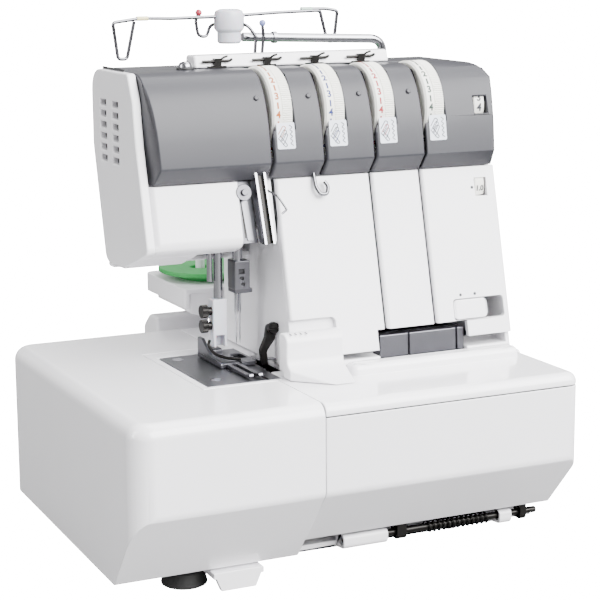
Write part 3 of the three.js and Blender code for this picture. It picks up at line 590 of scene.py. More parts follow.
def makePanels():
    p = panelShape
    left = leaningSheet("frontPanelLeft", *p["left"])
    carve(left, prism("notch", p["notch"], "y", (60, 95)), block("blockRoom", *p["blockRoom"]))
    middle = leaningSheet("frontPanelMiddle", *p["middle"])
    right = leaningSheet("frontPanelRight", *p["right"])
    carve(right, block("blockRoom", *p["blockRoom"]), block("window", *p["window"]),
          rod("dialRoom", *p["dialRoom"]),
          prism("sliderRoom", p["sliderRoom"], "y", (60, 90)))
    for piece, side in ((left, "left"), (middle, "middle"), (right, "right")):
        fit(soften(piece, p["edge"], 3, 50), "whiteAbs", "front_panel_" + side)
    # white wall behind the notch, and a black sheet behind the vents as painted shade in their depth
    low, high, (front, back) = p["backingLow"], p["backingHigh"], p["backingDepth"]
    corners = ((front, low), (back, low), (back, high), (front, high))
    section = [(frontAt(z) + depth, z) for depth, z in corners]
    fit(prism("panelBacking", section, "x", p["backingSpan"]), "whiteAbs", "front_panel_left", False)
    fit(block("ventShadeSheet", *p["ventShade"]), "blackNylon", "head_casing", False)


headFrontShape = {
    "left": -85.7, "right": -34.6, "leftRound": 3.4, "edge": 0.4,
    "section": [(91.3, 210.9), (82.6, 176.5, 6), (96, 171.6), (97.6, 174.6), (88.2, 178.4, 3), (96, 210.9)],
}


def makeHeadFront():
    h = headFrontShape
    left = h["left"]
    piece = prism("headFrontCover", h["section"], "x", (left, h["right"]), 10)

    def leftRim(a, b):
        outer = max(a.y - frontAt(a.z), b.y - frontAt(b.z)) < 0.2 or max(a.z, b.z) < 176.2
        return near(a.x, left) and near(b.x, left) and outer and a.y < 93 and b.y < 93

    roundEdges(piece, leftRim, h["leftRound"], 8)
    fit(soften(piece, h["edge"], 2, 55), "whiteAbs", "head_front_cover")


sliderShape = {
    "low": 125.4, "high": 136.3, "depth": (0.4, 2.6), "span": (92.4, 114.4), "round": 2.5, "edge": 0.5,
}


def makeSlider():
    s = sliderShape
    low, high, (front, back) = s["low"], s["high"], s["depth"]
    corners = ((front, low), (back, low), (back, high), (front, high))
    side = [(frontAt(z) + depth, z) for depth, z in corners]
    piece = prism("plateSlider", side, "x", s["span"])
    roundEdges(piece, lambda a, b: abs(a.y - b.y) > 1.5, s["round"], 5)
    fit(soften(piece, s["edge"], 3, 50), "glossAbs", "needle_plate_slider")


makePanels()
makeHeadFront()
makeSlider()
print("front panels made")

# left edges of the four dial slots, which are also the joints of the band
seams = [-16, 16, 47.4, 79.5]

bandShape = {
    "seamGap": 0.8, "seamRound": 1.8, "edge": 0.8, "seamBottom": 211, "crown": 88.2, "behind": 91.6,
    "studs": (-22.2, 9.2, 40.6, 72.2), "studPlace": (92.5, 256), "studLean": 155,
    "stud": [(0, -1), (1.5, -1), (1.5, 0.5), (1.1, 1.0), (0, 1.1)],
}


def makeBand():
    s = bandShape
    for i in range(5):
        nodeName = "tension_cover_%d" % (i + 1)
        # the last cover keeps its own triangles, because its window splits the flat face
        piece = mergedCopy(nodeName, "bandCover_%d" % (i + 1), 0 if i == 4 else 0.5)
        if i in (1, 2, 3):
            edge = seams[i - 1] + s["seamGap"]

            def leftChain(a, b):
                outer = max(a.y, b.y) < s["behind"] and abs(a.z - b.z) > 0.5 and a.y < s["crown"]
                return near(a.x, edge) and near(b.x, edge) and outer and min(a.z, b.z) > s["seamBottom"]

            roundEdges(piece, leftChain, s["seamRound"], 4)
        fit(soften(piece, s["edge"], 3, 40), "greyLacquer", nodeName, degrees=42)
    for i, x in enumerate(s["studs"]):
        stud = turned("indexStud_%d" % (i + 1), s["stud"], "y", (0, 0, 0), 20)
        fit(laid(stud, (x, *s["studPlace"]), s["studLean"]), "greyLacquer", "tension_cover_1", False)


makeBand()
print("grey band made")

dialShape = {
    "axis": (113, 246), "radius": 25.8, "bore": 5.2, "gap": 1.3, "plainWidth": 7.2, "right": 13.7,
    "ridges": 132, "ridgeDepth": 0.45, "figureAcross": 4.7, "figureSize": 5.4, "figureStep": 23,
    "figureStart": 1.5, "tick": (1.0, 3.6), "inks": ["orangeInk", "blueInk", "redInk", "greenInk"],
}


def onDial(x, degrees, radius, axis=dialShape["axis"]):
    # a place on a dial's rim, and the turn that lays flat artwork on it
    t = math.radians(degrees)
    out, up = Vector((0, -math.cos(t), math.sin(t))), Vector((0, math.sin(t), math.cos(t)))
    spot = at(x, axis[0], axis[1]) + out * radius * mm
    turn = Matrix(((1, up.x, out.x), (0, up.y, out.y), (0, up.z, out.z)))
    return Matrix.Translation(spot) @ turn.to_4x4()


def figure(text, size, place, weight=0.18):
    # a numeral as a thin printed solid
    data = bpy.data.curves.new("figure", "FONT")
    data.body = text
    data.size = size * mm
    data.extrude = 0.03 * mm
    data.offset = weight * mm
    data.align_x, data.align_y = "CENTER", "CENTER"
    data.resolution_u = 4
    piece = bpy.data.objects.new("figure", data)
    bpy.context.scene.collection.objects.link(piece)
    select(piece)
    bpy.ops.object.convert(target="MESH")
    piece = bpy.context.object
    piece.data.transform(place)
    return piece


def tile(size, place, thick=0.06):
    # a small printed rectangle laid at a place
    wide, tall = size[0] / 2, size[1] / 2
    outline = [(-wide, -tall), (wide, -tall), (wide, tall), (-wide, tall)]
    piece = prism("tile", outline, "z", (-thick / 2, thick / 2))
    piece.data.transform(place @ Matrix.Translation(-bench))
    return piece


def ribbedWheel(name, radius, span, ridges, depth, axis):
    # a rim with rounded grip ridges: each ridge rises, runs flat and falls away
    ridge = ((0.0, radius - depth), (0.25, radius), (0.6, radius), (0.85, radius - depth))
    points = []
    for i in range(ridges):
        for share, r in ridge:
            t = 2 * math.pi * (i + share) / ridges
            points.append((axis[0] + r * math.cos(t), axis[1] + r * math.sin(t)))
    return prism(name, points, "x", span)


def makeTensionDial(i, seam):
    d = dialShape
    start, radius, bore, number = seam + d["gap"], d["radius"], d["bore"], "_%d" % (i + 1)
    nodeName, plain = "tension_dial" + number, d["plainWidth"]
    rim = [(bore, 0), (radius - 1, 0), (radius, 1), (radius, plain - 1.6), (radius - 0.7, plain - 0.9),
           (bore, plain - 0.9)]
    fit(turned("dialRim" + number, rim, "x", (start, *d["axis"]), 96), "ivoryAcetal", nodeName, degrees=30)
    span = (start + plain - 1, seam + d["right"] - 0.6)
    grip = ribbedWheel("dialGrip" + number, radius, span, d["ridges"], d["ridgeDepth"], d["axis"])
    carve(grip, turned("bore", [(0, -2), (bore, -2), (bore, 20), (0, 20)], "x", (start, *d["axis"])))
    fit(grip, "ivoryAcetal", nodeName, degrees=50)
    marks = []
    for digit in range(10):
        degrees = d["figureStart"] + (4 - digit) * d["figureStep"]
        across = seam + d["figureAcross"]
        marks.append(figure(str(digit), d["figureSize"], onDial(across, degrees, radius + 0.01)))
        if digit:
            marks.append(tile(d["tick"], onDial(across, degrees + d["figureStep"] / 2, radius + 0.01)))
    fit(gather(marks, "dialFigures" + number), d["inks"][i], nodeName, False)


# the two small dials behind windows: place, size, then what is printed and at which angles
smallDials = {
    "stitchLength": {
        "node": "stitch_length_dial", "axis": (103.2, 246), "radius": 12.75, "span": (114.3, 121.5),
        "figureSize": 6.0, "figures": {"0": 99, "1": 73, "2": 47, "3": 21, "4": -5},
    },
    "differentialFeed": {
        "node": "differential_feed_dial", "axis": (103.6, 199), "radius": 14, "span": (115.1, 121.7),
        "figureSize": 4.2, "figures": {"2.0": 76, "1.5": 36, "1.0": -4},
    },
}


def makeDials():
    for i, seam in enumerate(seams):
        makeTensionDial(i, seam)
    for name, s in smallDials.items():
        r, axis, (left, right) = s["radius"], s["axis"], s["span"]
        width = right - left
        outline = [(0, 0), (r - 0.6, 0), (r, 0.6), (r, width - 0.6), (r - 0.6, width), (0, width)]
        fit(turned(name + "Dial", outline, "x", (left, *axis), 72), "ivoryAcetal", s["node"], degrees=30)
        marks = []
        for text, degrees in s["figures"].items():
            marks.append(figure(text, s["figureSize"], onDial((left + right) / 2, degrees, r + 0.01, axis)))
        fit(gather(marks, name + "Figures"), "greyInk", s["node"], False)


makeDials()
print("dials and figures made")

# places (z, y) down the band's face, from its bottom edge to its crown
bandFace = [(211.4, 91.3), (220.5, 84), (240, 87.2), (256, 92.6), (266.4, 100)]


def bandY(z):
    for (lowZ, lowY), (highZ, highY) in zip(bandFace, bandFace[1:]):
        if z <= highZ:
            return lowY + (highY - lowY) * (z - lowZ) / (highZ - lowZ)
    return bandFace[-1][1]


def onBand(x, z):
    # a place on the band's face and the turn that lays artwork on it
    slope = math.atan2(bandY(z + 2) - bandY(z - 2), 4)
    up, out = Vector((0, math.sin(slope), math.cos(slope))), Vector((0, -math.cos(slope), math.sin(slope)))
    turn = Matrix(((1, up.x, out.x), (0, up.y, out.y), (0, up.z, out.z)))
    return Matrix.Translation(at(x, bandY(z), z) + out * 0.12 * mm) @ turn.to_4x4()


plateShape = {
    "across": 8.6, "height": 235.2, "half": (5.4, 7.2), "round": 1, "thick": 0.3, "line": 0.2,
    "lineLift": 0.38,
    "loops": 3, "loopStep": (0.5, -2.0), "zigzags": 10, "coloured": (0, 2, 1, 3),
    "loop": [(-4.6, 1.0), (-1.5, 5.6), (0.2, 4.6), (-1.6, 1.2), (-3.1, -0.8)],
    "slant": [(-4.8, -1.2), (-0.5, -6.2), (0.6, -5.2), (-3.6, 0.2)],
}


def makePlates():
    s = plateShape
    wide, tall, thick, corner = *s["half"], s["thick"], s["round"]
    outline = [(-wide, -tall, corner), (wide, -tall, corner), (wide, tall, corner), (-wide, tall, corner)]
    # slanting overlock loops and a zigzag, one of them in the colour of its dial
    strokes = []
    for k in range(s["loops"]):
        strokes.append([(u + s["loopStep"][0] * k, v + s["loopStep"][1] * k) for u, v in s["loop"]])
    strokes.append([(2.2 + (k % 2) * 2.0, 5.8 - 1.25 * k) for k in range(s["zigzags"])])
    strokes.append(s["slant"])
    for i, seam in enumerate(seams):
        middle = onBand(seam + s["across"], s["height"])
        plate = prism("stitchPlate_%d" % (i + 1), outline, "z", (-thick, thick))
        plate.data.transform(middle @ Matrix.Translation(-bench))
        fit(plate, "paleBlueInk", "tension_cover_1", False)
        made = []
        for stroke in strokes:
            route = [(middle @ (Vector((u, v, s["lineLift"])) * mm) - bench) / mm for u, v in stroke]
            made.append(wire("stroke", route, s["line"], 0.9, 1))
        bright = made.pop(s["coloured"][i])
        bright.name = "stitchThread_%d" % (i + 1)
        fit(bright, dialShape["inks"][i], "tension_cover_1", False)
        fit(gather(made, "stitchLines_%d" % (i + 1)), "greyInk", "tension_cover_1", False)


makePlates()

# index dots (x, z) on the white front, and the one on the grey band
dotPlaces = {"front": ((112.5, 199), (97.2, 139.2), (106.7, 139.2)), "band": (111.5, 247)}


def makeDots():
    dots = []
    for x, z in dotPlaces["front"]:
        dot = turned("dot", [(0, -0.2), (0.9, -0.2), (0.9, 0.05), (0, 0.05)], "y", (0, 0, 0), 20)
        dots.append(laid(dot, (x, frontAt(z), z), 166.4))
    fit(gather(dots, "indexDots"), "greyInk", "front_panel_right", False)
    x, z = dotPlaces["band"]
    dot = turned("lengthDot", [(0, -0.2), (1.1, -0.2), (1.1, 0.1), (0, 0.1)], "y", (0, 0, 0), 20)
    fit(laid(dot, (x, bandY(z), z), 160), "whiteInk", "tension_cover_5", False)


makeDots()
print("plates and dots made")

clipShape = {"centres": (-31.2, -0.8, 29.1, 58.7), "bar": 0.8, "tip": 0.6}


def makeGuideBar():
    fit(soften(mergedCopy("thread_guide_bar", "threadGuideBar"), 1.2, 4), "glossAbs", "thread_guide_bar")
    for i, x in enumerate(clipShape["centres"]):
        bar = [(x - 9.5, 124.2, 274.4), (x + 7, 124.2, 274.6), (x + 9, 126, 275.2)]
        tip = [(x + 1, 124, 275), (x + 3, 123.4, 276.6), (x + 5.5, 123.6, 277.2)]
        parts = [wire("clipBar", bar, clipShape["bar"]), wire("clipTip", tip, clipShape["tip"]),
                 block("clipBox", (x - 2.4, x + 1.6), (122.9, 126), (272, 276)),
                 block("clipFoot", (x - 6, x + 5), (123.6, 125.5), (270.9, 271.9))]
        wear(gather(parts, "threadClip_%d" % (i + 1)), "oilBlackSteel", "chassis", "steel")


screwShape = {
    "place": (-51.7, 122), "slot": ((-56, -47), (121.6, 122.4), (274.7, 277)),
    "rim": [(0, 270.7), (5, 270.7), (5, 271.6), (4.4, 272), (0, 272)],
    "dome": [(0, 272), (3.9, 272), (3.9, 273.2), (3.2, 274.4), (1.8, 275.1), (0, 275.3)],
}


def makePressureScrew():
    s = screwShape
    fit(turned("pressureRim", s["rim"], "z", (*s["place"], 0)), "blackNylon", "pressure_screw")
    dome = turned("pressureDome", s["dome"], "z", (*s["place"], 0))
    fit(carve(dome, block("driverSlot", *s["slot"])), "chromePlate", "pressure_screw")


# the pole's bar and hub, then the routes of the wires and the caps on their ends
treeShape = {
    "poleRoute": [(111.5, 198, 112), (111.5, 198, 279.8), (16, 198, 283.4)], "poleRadius": 2.75,
    "ring": [(0, -1.2), (3.6, -1.2), (3.6, 1.2), (0, 1.2)], "ringPlace": (37, 198, 282.6),
    "hub": (7.3, 198, 0),
    "hubOutline": [(0, 279.8), (6.2, 279.8), (7.2, 281), (7.2, 286.5), (8.2, 287.6), (9.1, 289),
                   (9.1, 296.5), (8.2, 299.2), (5.6, 300.3), (0, 300.3)],
    "wires": {
        "leftRod": (1.05, 2, [(7.3, 198, 296), (-30, 196, 295.5), (-50, 194, 296.2), (-67.8, 194, 294),
                              (-65, 194, 272.8), (-59.5, 194, 272.8), (-54.6, 194, 294.4)]),
        "rightRod": (1.05, 2, [(7.3, 198, 296), (40, 200, 297.4), (70, 202, 298), (71.5, 202, 292),
                               (75, 202, 279), (79.6, 202, 279), (82, 202, 297.6), (74, 202, 299),
                               (58, 202, 299.2)]),
        "rearGuide": (1.0, 3, [(7.3, 198, 292), (-2, 205, 291), (-4.5, 205, 283.5), (-10, 205, 284.5),
                               (-11.5, 205, 294), (-9.4, 205, 297.5)]),
        "frontGuide": (1.0, 3, [(7.3, 198, 292), (16, 191, 291), (21.4, 190, 284), (20.4, 190, 271.5),
                                (25, 190, 271.5), (26.4, 190, 284), (25.7, 190, 290)]),
    },
    "balls": {"red": (-9.4, 205, 298.2), "blue": (25.7, 190, 291.8)}, "ballRadius": 2.0,
    "sleeves": {"yellow": [(-53, 194, 296), (-46, 194.6, 296)], "green": [(57, 202, 299), (64.5, 202, 299)]},
    "sleeveRadius": 1.35,
}


def makeThreadTree():
    t = treeShape
    fit(wire("guidePole", t["poleRoute"], t["poleRadius"], 9, 6), "chromePlate", "guide_pole")
    fit(turned("poleRing", t["ring"], "x", t["ringPlace"], 32), "chromePlate", "guide_pole", False)
    fit(turned("treeHub", t["hubOutline"], "z", t["hub"], 56), "paleAcetal", "guide_tree")
    wires = [wire(name, route, radius, bend) for name, (radius, bend, route) in t["wires"].items()]
    fit(gather(wires, "treeWires"), "platedWire", "guide_tree", degrees=60)
    for name, place in t["balls"].items():
        bpy.ops.object.select_all(action="DESELECT")
        radius = t["ballRadius"] * mm
        bpy.ops.mesh.primitive_uv_sphere_add(segments=32, ring_count=16, radius=radius, location=(0, 0, 0))
        ball = bpy.context.object
        ball.name = name + "Marker"
        ball.data.transform(Matrix.Translation(at(*place)))
        fit(ball, name + "Cap", "guide_tree", False)
    for name, route in t["sleeves"].items():
        fit(wire(name + "Marker", route, t["sleeveRadius"]), name + "Cap", "guide_tree", False)


makeGuideBar()
makePressureScrew()
makeThreadTree()
print("guides and thread tree made")

faceShape = {
    "low": 177, "barTop": 218, "plateDepth": 4.2,
    "plate": [(-33.9, 177), (-24, 177), (-25.9, 210.8), (-33.9, 210.8)],
    "raised": [(-30.5, 178.5, 1), (-26.4, 178.5, 1), (-28.6, 207, 1), (-32.6, 207, 1)],
    "slot": [(-31.8, 180), (-31.0, 180), (-31.6, 204), (-32.4, 204)],
    "discPlace": (-31.5, 90, 205), "discLean": -13.6,
    "disc": [(1, -0.8), (4.3, -0.8), (4.6, -0.3), (1, 0.3)],
    "discScrew": [(0, -2.6), (1.6, -2.6), (1.9, -2.1), (1.9, 0), (0, 0)],
    "guide": [(-19, 86, 206), (-15, 81, 203), (-10.5, 79, 195.5), (-13.5, 79, 193.5)], "guideRadius": 0.6,
}

# bright channel with a dark floor: spans at its top and at its foot, depths from the front, finish
channelBars = {
    "channelLeft": ((-25.9, -24.3), (-24.0, -22.4), (-4.7, 3), "chromePlate"),
    "channelRight": ((-20.7, -19.1), (-18.9, -17.3), (-4.7, 3), "chromePlate"),
    "channelFloor": ((-24.3, -20.7), (-22.4, -18.9), (-2.6, 3), "oilBlackSteel"),
    "faceReturn": ((-19.0, -13.2), (-17.2, -13.2), (3.2, 5), "whiteAbs"),
}


def makeFacePlate():
    s = faceShape
    depth = s["plateDepth"]
    plate = leaned(prism("facePlate", s["plate"], "y", (0, 1.6)), depth)
    fit(soften(plate, 0.3, 2), "blackenedSteel", "face_plate")
    raised = leaned(prism("facePlateRaised", s["raised"], "y", (-0.7, 0.1)), depth)
    fit(soften(raised, 0.25, 2), "groundSteel", "face_plate")
    for name, (top, foot, span, finishName) in channelBars.items():
        outline = [(foot[0], s["low"]), (foot[1], s["low"]), (top[1], s["barTop"]), (top[0], s["barTop"])]
        bar = leaned(prism(name, outline, "y", span))
        fit(soften(bar, 0.3, 2), finishName, "face_plate")
    # a dark strip laid on the face plate as painted shade inside its slot
    fit(leaned(prism("faceSlotShade", s["slot"], "y", (-0.12, 0.4)), depth), "oilBlackSteel", "face_plate", False)
    discs = [turned("tensionDisc", s["disc"], "y", (0, 0, 0), 40),
             turned("tensionScrew", s["discScrew"], "y", (0, 0, 0), 32)]
    for disc in discs:
        laid(disc, s["discPlace"], s["discLean"])
    fit(gather(discs, "faceTension"), "blackenedSteel", "face_plate")
    fit(wire("faceGuide", s["guide"], s["guideRadius"], 1), "platedWire", "face_plate", False)


needleShape = {
    "clamp": ((-30.2, -20.8), (106.6, 117.4), (147.2, 164)),
    "flange": ((-30.0, -19.5), (106.6, 117.4), (145.4, 148)),
    "pocket": ((-27.9, -24.2), (105, 108.6), (156.4, 159.4)),
    # a black floor inside the pocket, painted shade
    "pocketShade": ((-27.8, -24.3), (107.6, 108.4), (156.5, 159.3)),
    "screws": ((-26.0, 153.9), (-25.2, 150.5)), "holeRadius": 1.3, "screwRadius": 0.9,
    "bar": (3.0, 50, (-26.3, 112, 164)), "needles": {"left": (-27.8, 111), "right": (-24.8, 113)},
}


def makeNeedles():
    s = needleShape
    clamp = soften(block("needleClamp", *s["clamp"]), 0.7, 3)
    carve(clamp, block("pocket", *s["pocket"]),
          *[rod("hole", s["holeRadius"], 2.6, "y", (x, 105.6, z), 24) for x, z in s["screws"]])
    fit(clamp, "groundSteel", "needle_bar")
    fit(soften(block("needleFlange", *s["flange"]), 0.4, 2), "blackenedSteel", "needle_bar")
    screws = [rod("clampScrew", s["screwRadius"], 1.2, "y", (x, 107, z), 24) for x, z in s["screws"]]
    # the black floor in the clamp's square pocket is painted shade in its depth
    screws.append(block("pocketShade", *s["pocketShade"]))
    fit(gather(screws, "clampScrewsAndPocketShade"), "blackNylon", "needle_bar", False)
    radius, length, place = s["bar"]
    fit(rod("needleBarRod", radius, length, "z", place, 40), "chromePlate", "needle_bar")
    for side, (x, y) in s["needles"].items():
        nodeName = "needle_" + side
        low, high = [corner.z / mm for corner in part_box(nodeName)]
        outline = [(0, low), (0.35, low + 3.4), (0.45, low + 5), (0.45, high - 13), (0.95, high - 10.5),
                   (0.95, high), (0, high)]
        fit(turned(nodeName + "_fine", outline, "z", (x, y, 0), 24), "chromePlate", nodeName)


presserShape = {
    "bar": (2.6, -36.6, 116), "liftRod": (1.7, 25, (-41.6, 116, 152)),
    "holder": [(-41.3, 112.2, 1), (-32.7, 112.2, 1), (-32.7, 119.8, 1), (-41.3, 119.8, 1)],
    "holderSpan": (114.3, 141.8),
    "footRoom": ((-39.5, -34.5), (110, 118), (112, 121)),
    "knobHeights": (126.5, 135), "knobRadius": 3.8, "knobSpan": (-47.4, -43.6), "knobRidges": 24,
}


def makePresser():
    s = presserShape
    low, high = [corner.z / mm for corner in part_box("presser_bar")]
    radius, x, y = s["bar"]
    bar = rod("presserRod", radius, high - low, "z", (x, y, low), 40)
    radius, length, place = s["liftRod"]
    thin = rod("liftRod", radius, length, "z", place, 32)
    fit(gather([bar, thin], "presserRods"), "chromePlate", "presser_bar")
    holder = prism("footHolder", s["holder"], "z", s["holderSpan"])
    carve(holder, block("footRoom", *s["footRoom"]))
    fit(soften(holder, 0.6, 3), "paleAcetal", "foot_holder")
    for i, z in enumerate(s["knobHeights"]):
        knob = ribbedWheel("holderKnob", s["knobRadius"], s["knobSpan"], s["knobRidges"], 0.3, (116, z))
        soften(knob, 0.25, 2, 60)
        neck = rod("knobNeck", 2.4, 3.4, "x", (-44.2, 116, z), 24)
        fit(gather([knob, neck], "holderScrew_%d" % (i + 1)), "oilBlackSteel", "foot_holder")


footShape = {
    "sole": [(-43.9, 96.2, 2), (-21.5, 96.2, 2), (-21.5, 130.8), (-43.9, 130.8)], "soleSpan": (106.1, 108.3),
    "needleSlot": ((-29.8, -23.4), (106, 118), (100, 112)),
    "toeSlot": ((-32.2, -31.0), (90, 112), (100, 112)),
    "rail": [(96.2, 106.2), (130.8, 106.2), (130.8, 117.6, 1), (124.5, 117.6, 1), (113, 110.4, 3),
             (96.2, 108.4, 1)],
    "railSpan": (-43.8, -41.8),
    "ankle": [(119.2, 107), (129.8, 107), (129.8, 111.8, 1.5), (119.2, 111.8, 1.5)],
    "ankleSpan": (-42.8, -33.2),
    "toe": [(64.4, 107.4, 0.6), (70, 106.3, 4), (97, 106.3), (97, 108, 0.5), (70.5, 108, 4),
            (65.2, 109.2, 0.6)],
    "toeSpans": ((-40.3, -37.7), (-34.7, -32.1)),
    "spring": [(-43.4, 113, 119), (-44.4, 113, 116), (-42.6, 109, 111.6), (-37, 103, 109.6),
               (-30, 100, 109.2)],
    "springRadius": 0.9,
    "wing": [(-22, 94, 1), (-9.5, 92.4, 1), (-9.5, 96.4, 1), (-22, 99, 1)], "wingSpan": (108.5, 109.3),
}


def makeFoot():
    s = footShape
    sole = prism("footSole", s["sole"], "z", s["soleSpan"])
    carve(sole, block("needleSlot", *s["needleSlot"]), block("toeSlot", *s["toeSlot"]))
    weld(sole, prism("footRail", s["rail"], "x", s["railSpan"]),
         prism("footAnkle", s["ankle"], "x", s["ankleSpan"]))
    fit(soften(sole, 0.35, 2, 50), "blackenedSteel", "presser_foot")
    fit(wire("footSpring", s["spring"], s["springRadius"], 4), "oilBlackSteel", "presser_foot")
    wing = prism("footWing", s["wing"], "z", s["wingSpan"])
    fit(soften(wing, 0.2, 2, 50), "groundSteel", "presser_foot")
    toes = [soften(prism("footToe", s["toe"], "x", span), 0.25, 2, 50) for span in s["toeSpans"]]
    fit(gather(toes, "footToes"), "groundSteel", "presser_foot")


plateCuts = {
    "outline": [(-65.4, 62.4, 2), (-22.2, 62.4, 1), (-22.2, 137.3, 2), (-65.4, 137.3, 2)],
    "span": (103.7, 105.6),
    "feedSlots": (-42.5, -37.6, -32.7), "slotWidth": 2.6, "rowWidth": 2.0, "teeth": 14, "toothPitch": 2,
    "toothGap": ((-30.2, -23.6), (103, 118), (100, 108)), "edgeSlot": ((-30.4, -29.2), (60, 98), (100, 108)),
    "screws": ((-56.7, 129), (-55.7, 75)), "screwRadius": 3.2,
}


def makeNeedlePlate():
    s = plateCuts
    piece = prism("needlePlate", s["outline"], "z", s["span"])
    slots = [block("feedSlot", (x, x + s["slotWidth"]), (87, 125), (100, 108)) for x in s["feedSlots"]]
    carve(piece, *slots, block("toothGap", *s["toothGap"]), block("edgeSlot", *s["edgeSlot"]))
    fit(soften(piece, 0.3, 2, 50), "blackenedSteel", "needle_plate")
    screws, radius = [], s["screwRadius"]
    for x, y in s["screws"]:
        outline = [(0, 105.3), (radius, 105.3), (radius, 105.7), (0, 105.75)]
        head = turned("plateScrew", outline, "z", (x, y, 0), 32)
        screws.append(carve(head, block("driverSlot", (x - 4, x + 4), (y - 0.35, y + 0.35), (105.55, 107))))
    fit(gather(screws, "plateScrews"), "chromePlate", "needle_plate", False)
    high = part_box("feed_dog")[1].z / mm
    profile = [(90, high - 3)]
    for k in range(s["teeth"]):
        start = 90.6 + s["toothPitch"] * k
        profile += [(start, high - 1.1), (start + 1.6, high)]
    profile.append((119.5, high - 3))
    rows = [prism("feedRow", profile, "x", (x + 0.3, x + 0.3 + s["rowWidth"])) for x in s["feedSlots"]]
    fit(gather(rows, "feedTeeth"), "groundSteel", "feed_dog", False)


knifeShape = {
    "blade": [(-20.5, 106.3), (-16.8, 106.3), (-17.6, 114, 3), (-12.4, 121, 3), (-10.8, 129.4, 2),
              (-17.4, 129.4, 2), (-18.4, 122, 3), (-21.6, 115, 3)], "span": (91.4, 94.6),
    "screw": [(0, 0), (2.8, 0), (3.4, 0.6), (3.4, 2.6), (2.8, 3.2), (0, 3.2)],
    "screwPlace": (-14.4, 88.4, 127.6),
    "driverSlot": ((-18, -10), (88, 89.2), (127.3, 127.9)),
}

# frame nodes that only need their edges ground, with the radius and the finish
groundParts = {
    "lower_knife": (0.3, "blackenedSteel"), "upper_looper": (0.4, "groundSteel"),
    "lower_looper": (0.4, "groundSteel"),
}

hookShape = {
    "route": [(11.2, 90.6, 213), (11.2, 87.2, 205.5), (13.4, 85.6, 201.6), (17.4, 85.6, 201.6),
              (18.4, 86.6, 206), (16.4, 87.6, 208.6)], "radius": 1.1, "bend": 1.6,
}


def makeKnives():
    s = knifeShape
    fit(soften(mergedCopy("thread_block", "threadBlock"), 0.5, 2), "blackenedSteel", "thread_block")
    blade = prism("upperKnifeBlade", s["blade"], "y", s["span"], 5)
    fit(soften(blade, 0.5, 3, 50), "oilBlackSteel", "upper_knife")
    for nodeName, (radius, finishName) in groundParts.items():
        fit(soften(mergedCopy(nodeName, nodeName + "_ground"), radius, 2), finishName, nodeName)
    screw = turned("knifeScrew", s["screw"], "y", s["screwPlace"], 32)
    fit(carve(screw, block("driverSlot", *s["driverSlot"])), "oilBlackSteel", "upper_knife", False)
    hook = wire("panelHook", hookShape["route"], hookShape["radius"], hookShape["bend"])
    fit(hook, "platedWire", "front_panel_left", False)


makeFacePlate()
makeNeedles()
makePresser()
makeFoot()
makeNeedlePlate()
makeKnives()
print("needle area made")

coilShape = {
    "start": 54, "length": 40, "turns": 13, "steps": 12, "radius": 3.2, "wire": 0.55, "hinge": (36.2, 17.2),
}
padOutline = [(0, 0), (11.3, 0), (12.4, 0.6), (12.7, 1.6), (11.2, 7.4), (10.4, 8.2), (4, 8.2), (4, 6),
              (0, 6)]
hingeOutline = [(0, 0), (1.7, 0), (1.9, 0.4), (1.9, 123.6), (1.7, 124), (0, 124)]


def makeUnderside():
    s = coilShape
    y, z = s["hinge"]
    count = s["turns"] * s["steps"]
    coil = []
    for k in range(count + 1):
        t, radius = 2 * math.pi * k / s["steps"], s["radius"]
        along = s["start"] + s["length"] * k / count
        coil.append((along, y + radius * math.cos(t), z + radius * math.sin(t)))
    fit(wire("coverSpring", coil, s["wire"], 0.4, 2), "oilBlackSteel", "hinge_rod", False, degrees=60)
    fit(turned("hingeRod", hingeOutline, "x", (2, y, z), 32), "oilBlackSteel", "hinge_rod")
    for end in ("front_left", "front_right", "rear_left", "rear_right"):
        nodeName = "foot_" + end
        low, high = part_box(nodeName)
        x, y = ((low.x + high.x) / 2 - bench.x) / mm, ((low.y + high.y) / 2 - bench.y) / mm
        fit(turned(nodeName + "_pad", padOutline, "z", (x, y, 0)), "blackRubber", nodeName)


wheelShape = {"axis": (150, 84), "bore": 5.6, "ridges": 36, "ridgeDepth": 1.0, "face": 4}


def makeHandwheel():
    s = wheelShape
    low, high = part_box("handwheel")
    left, right = (low.x - bench.x) / mm, (high.x - bench.x) / mm
    radius, bore, face = (high.z - low.z) / 2 / mm, s["bore"], s["face"]
    rim = ribbedWheel("handwheelGrip", radius, (left, right - face), s["ridges"], s["ridgeDepth"], s["axis"])
    carve(rim, turned("bore", [(0, -2), (bore, -2), (bore, 40), (0, 40)], "x", (left, *s["axis"])))
    soften(rim, 0.3, 2, 60)
    outline = [(bore, 0), (radius - 2.2, 0), (radius - 2.6, 2.4), (radius - 6, face), (10, 3.2), (7, face),
               (bore, face)]
    disc = turned("handwheelFace", outline, "x", (right - face, *s["axis"]), 64)
    fit(gather([rim, disc], "handwheelRim"), "glossAbs", "handwheel", degrees=40)


trayShape = {
    "slope": [(-60, 133), (-60, 70), (-1, 70), (-1, 110)], "pins": (-8, 26, 60, 92), "pinRow": 213,
    "pinRoom": 6.2,
    "mat": [(-32.8, 184, 28), (124, 184, 4), (124, 243.5, 4), (-32.8, 243.5, 28)], "matSpan": (139.6, 142.4),
    "matFoot": [(-22, 192, 18), (118, 192, 4), (118, 236, 4), (-22, 236, 18)], "footSpan": (136.1, 140),
    "grip": [(214, 96), (238, 96), (238, 104, 6), (228, 112.4, 8), (214, 112.4)], "gripSpan": (-37, -2),
}


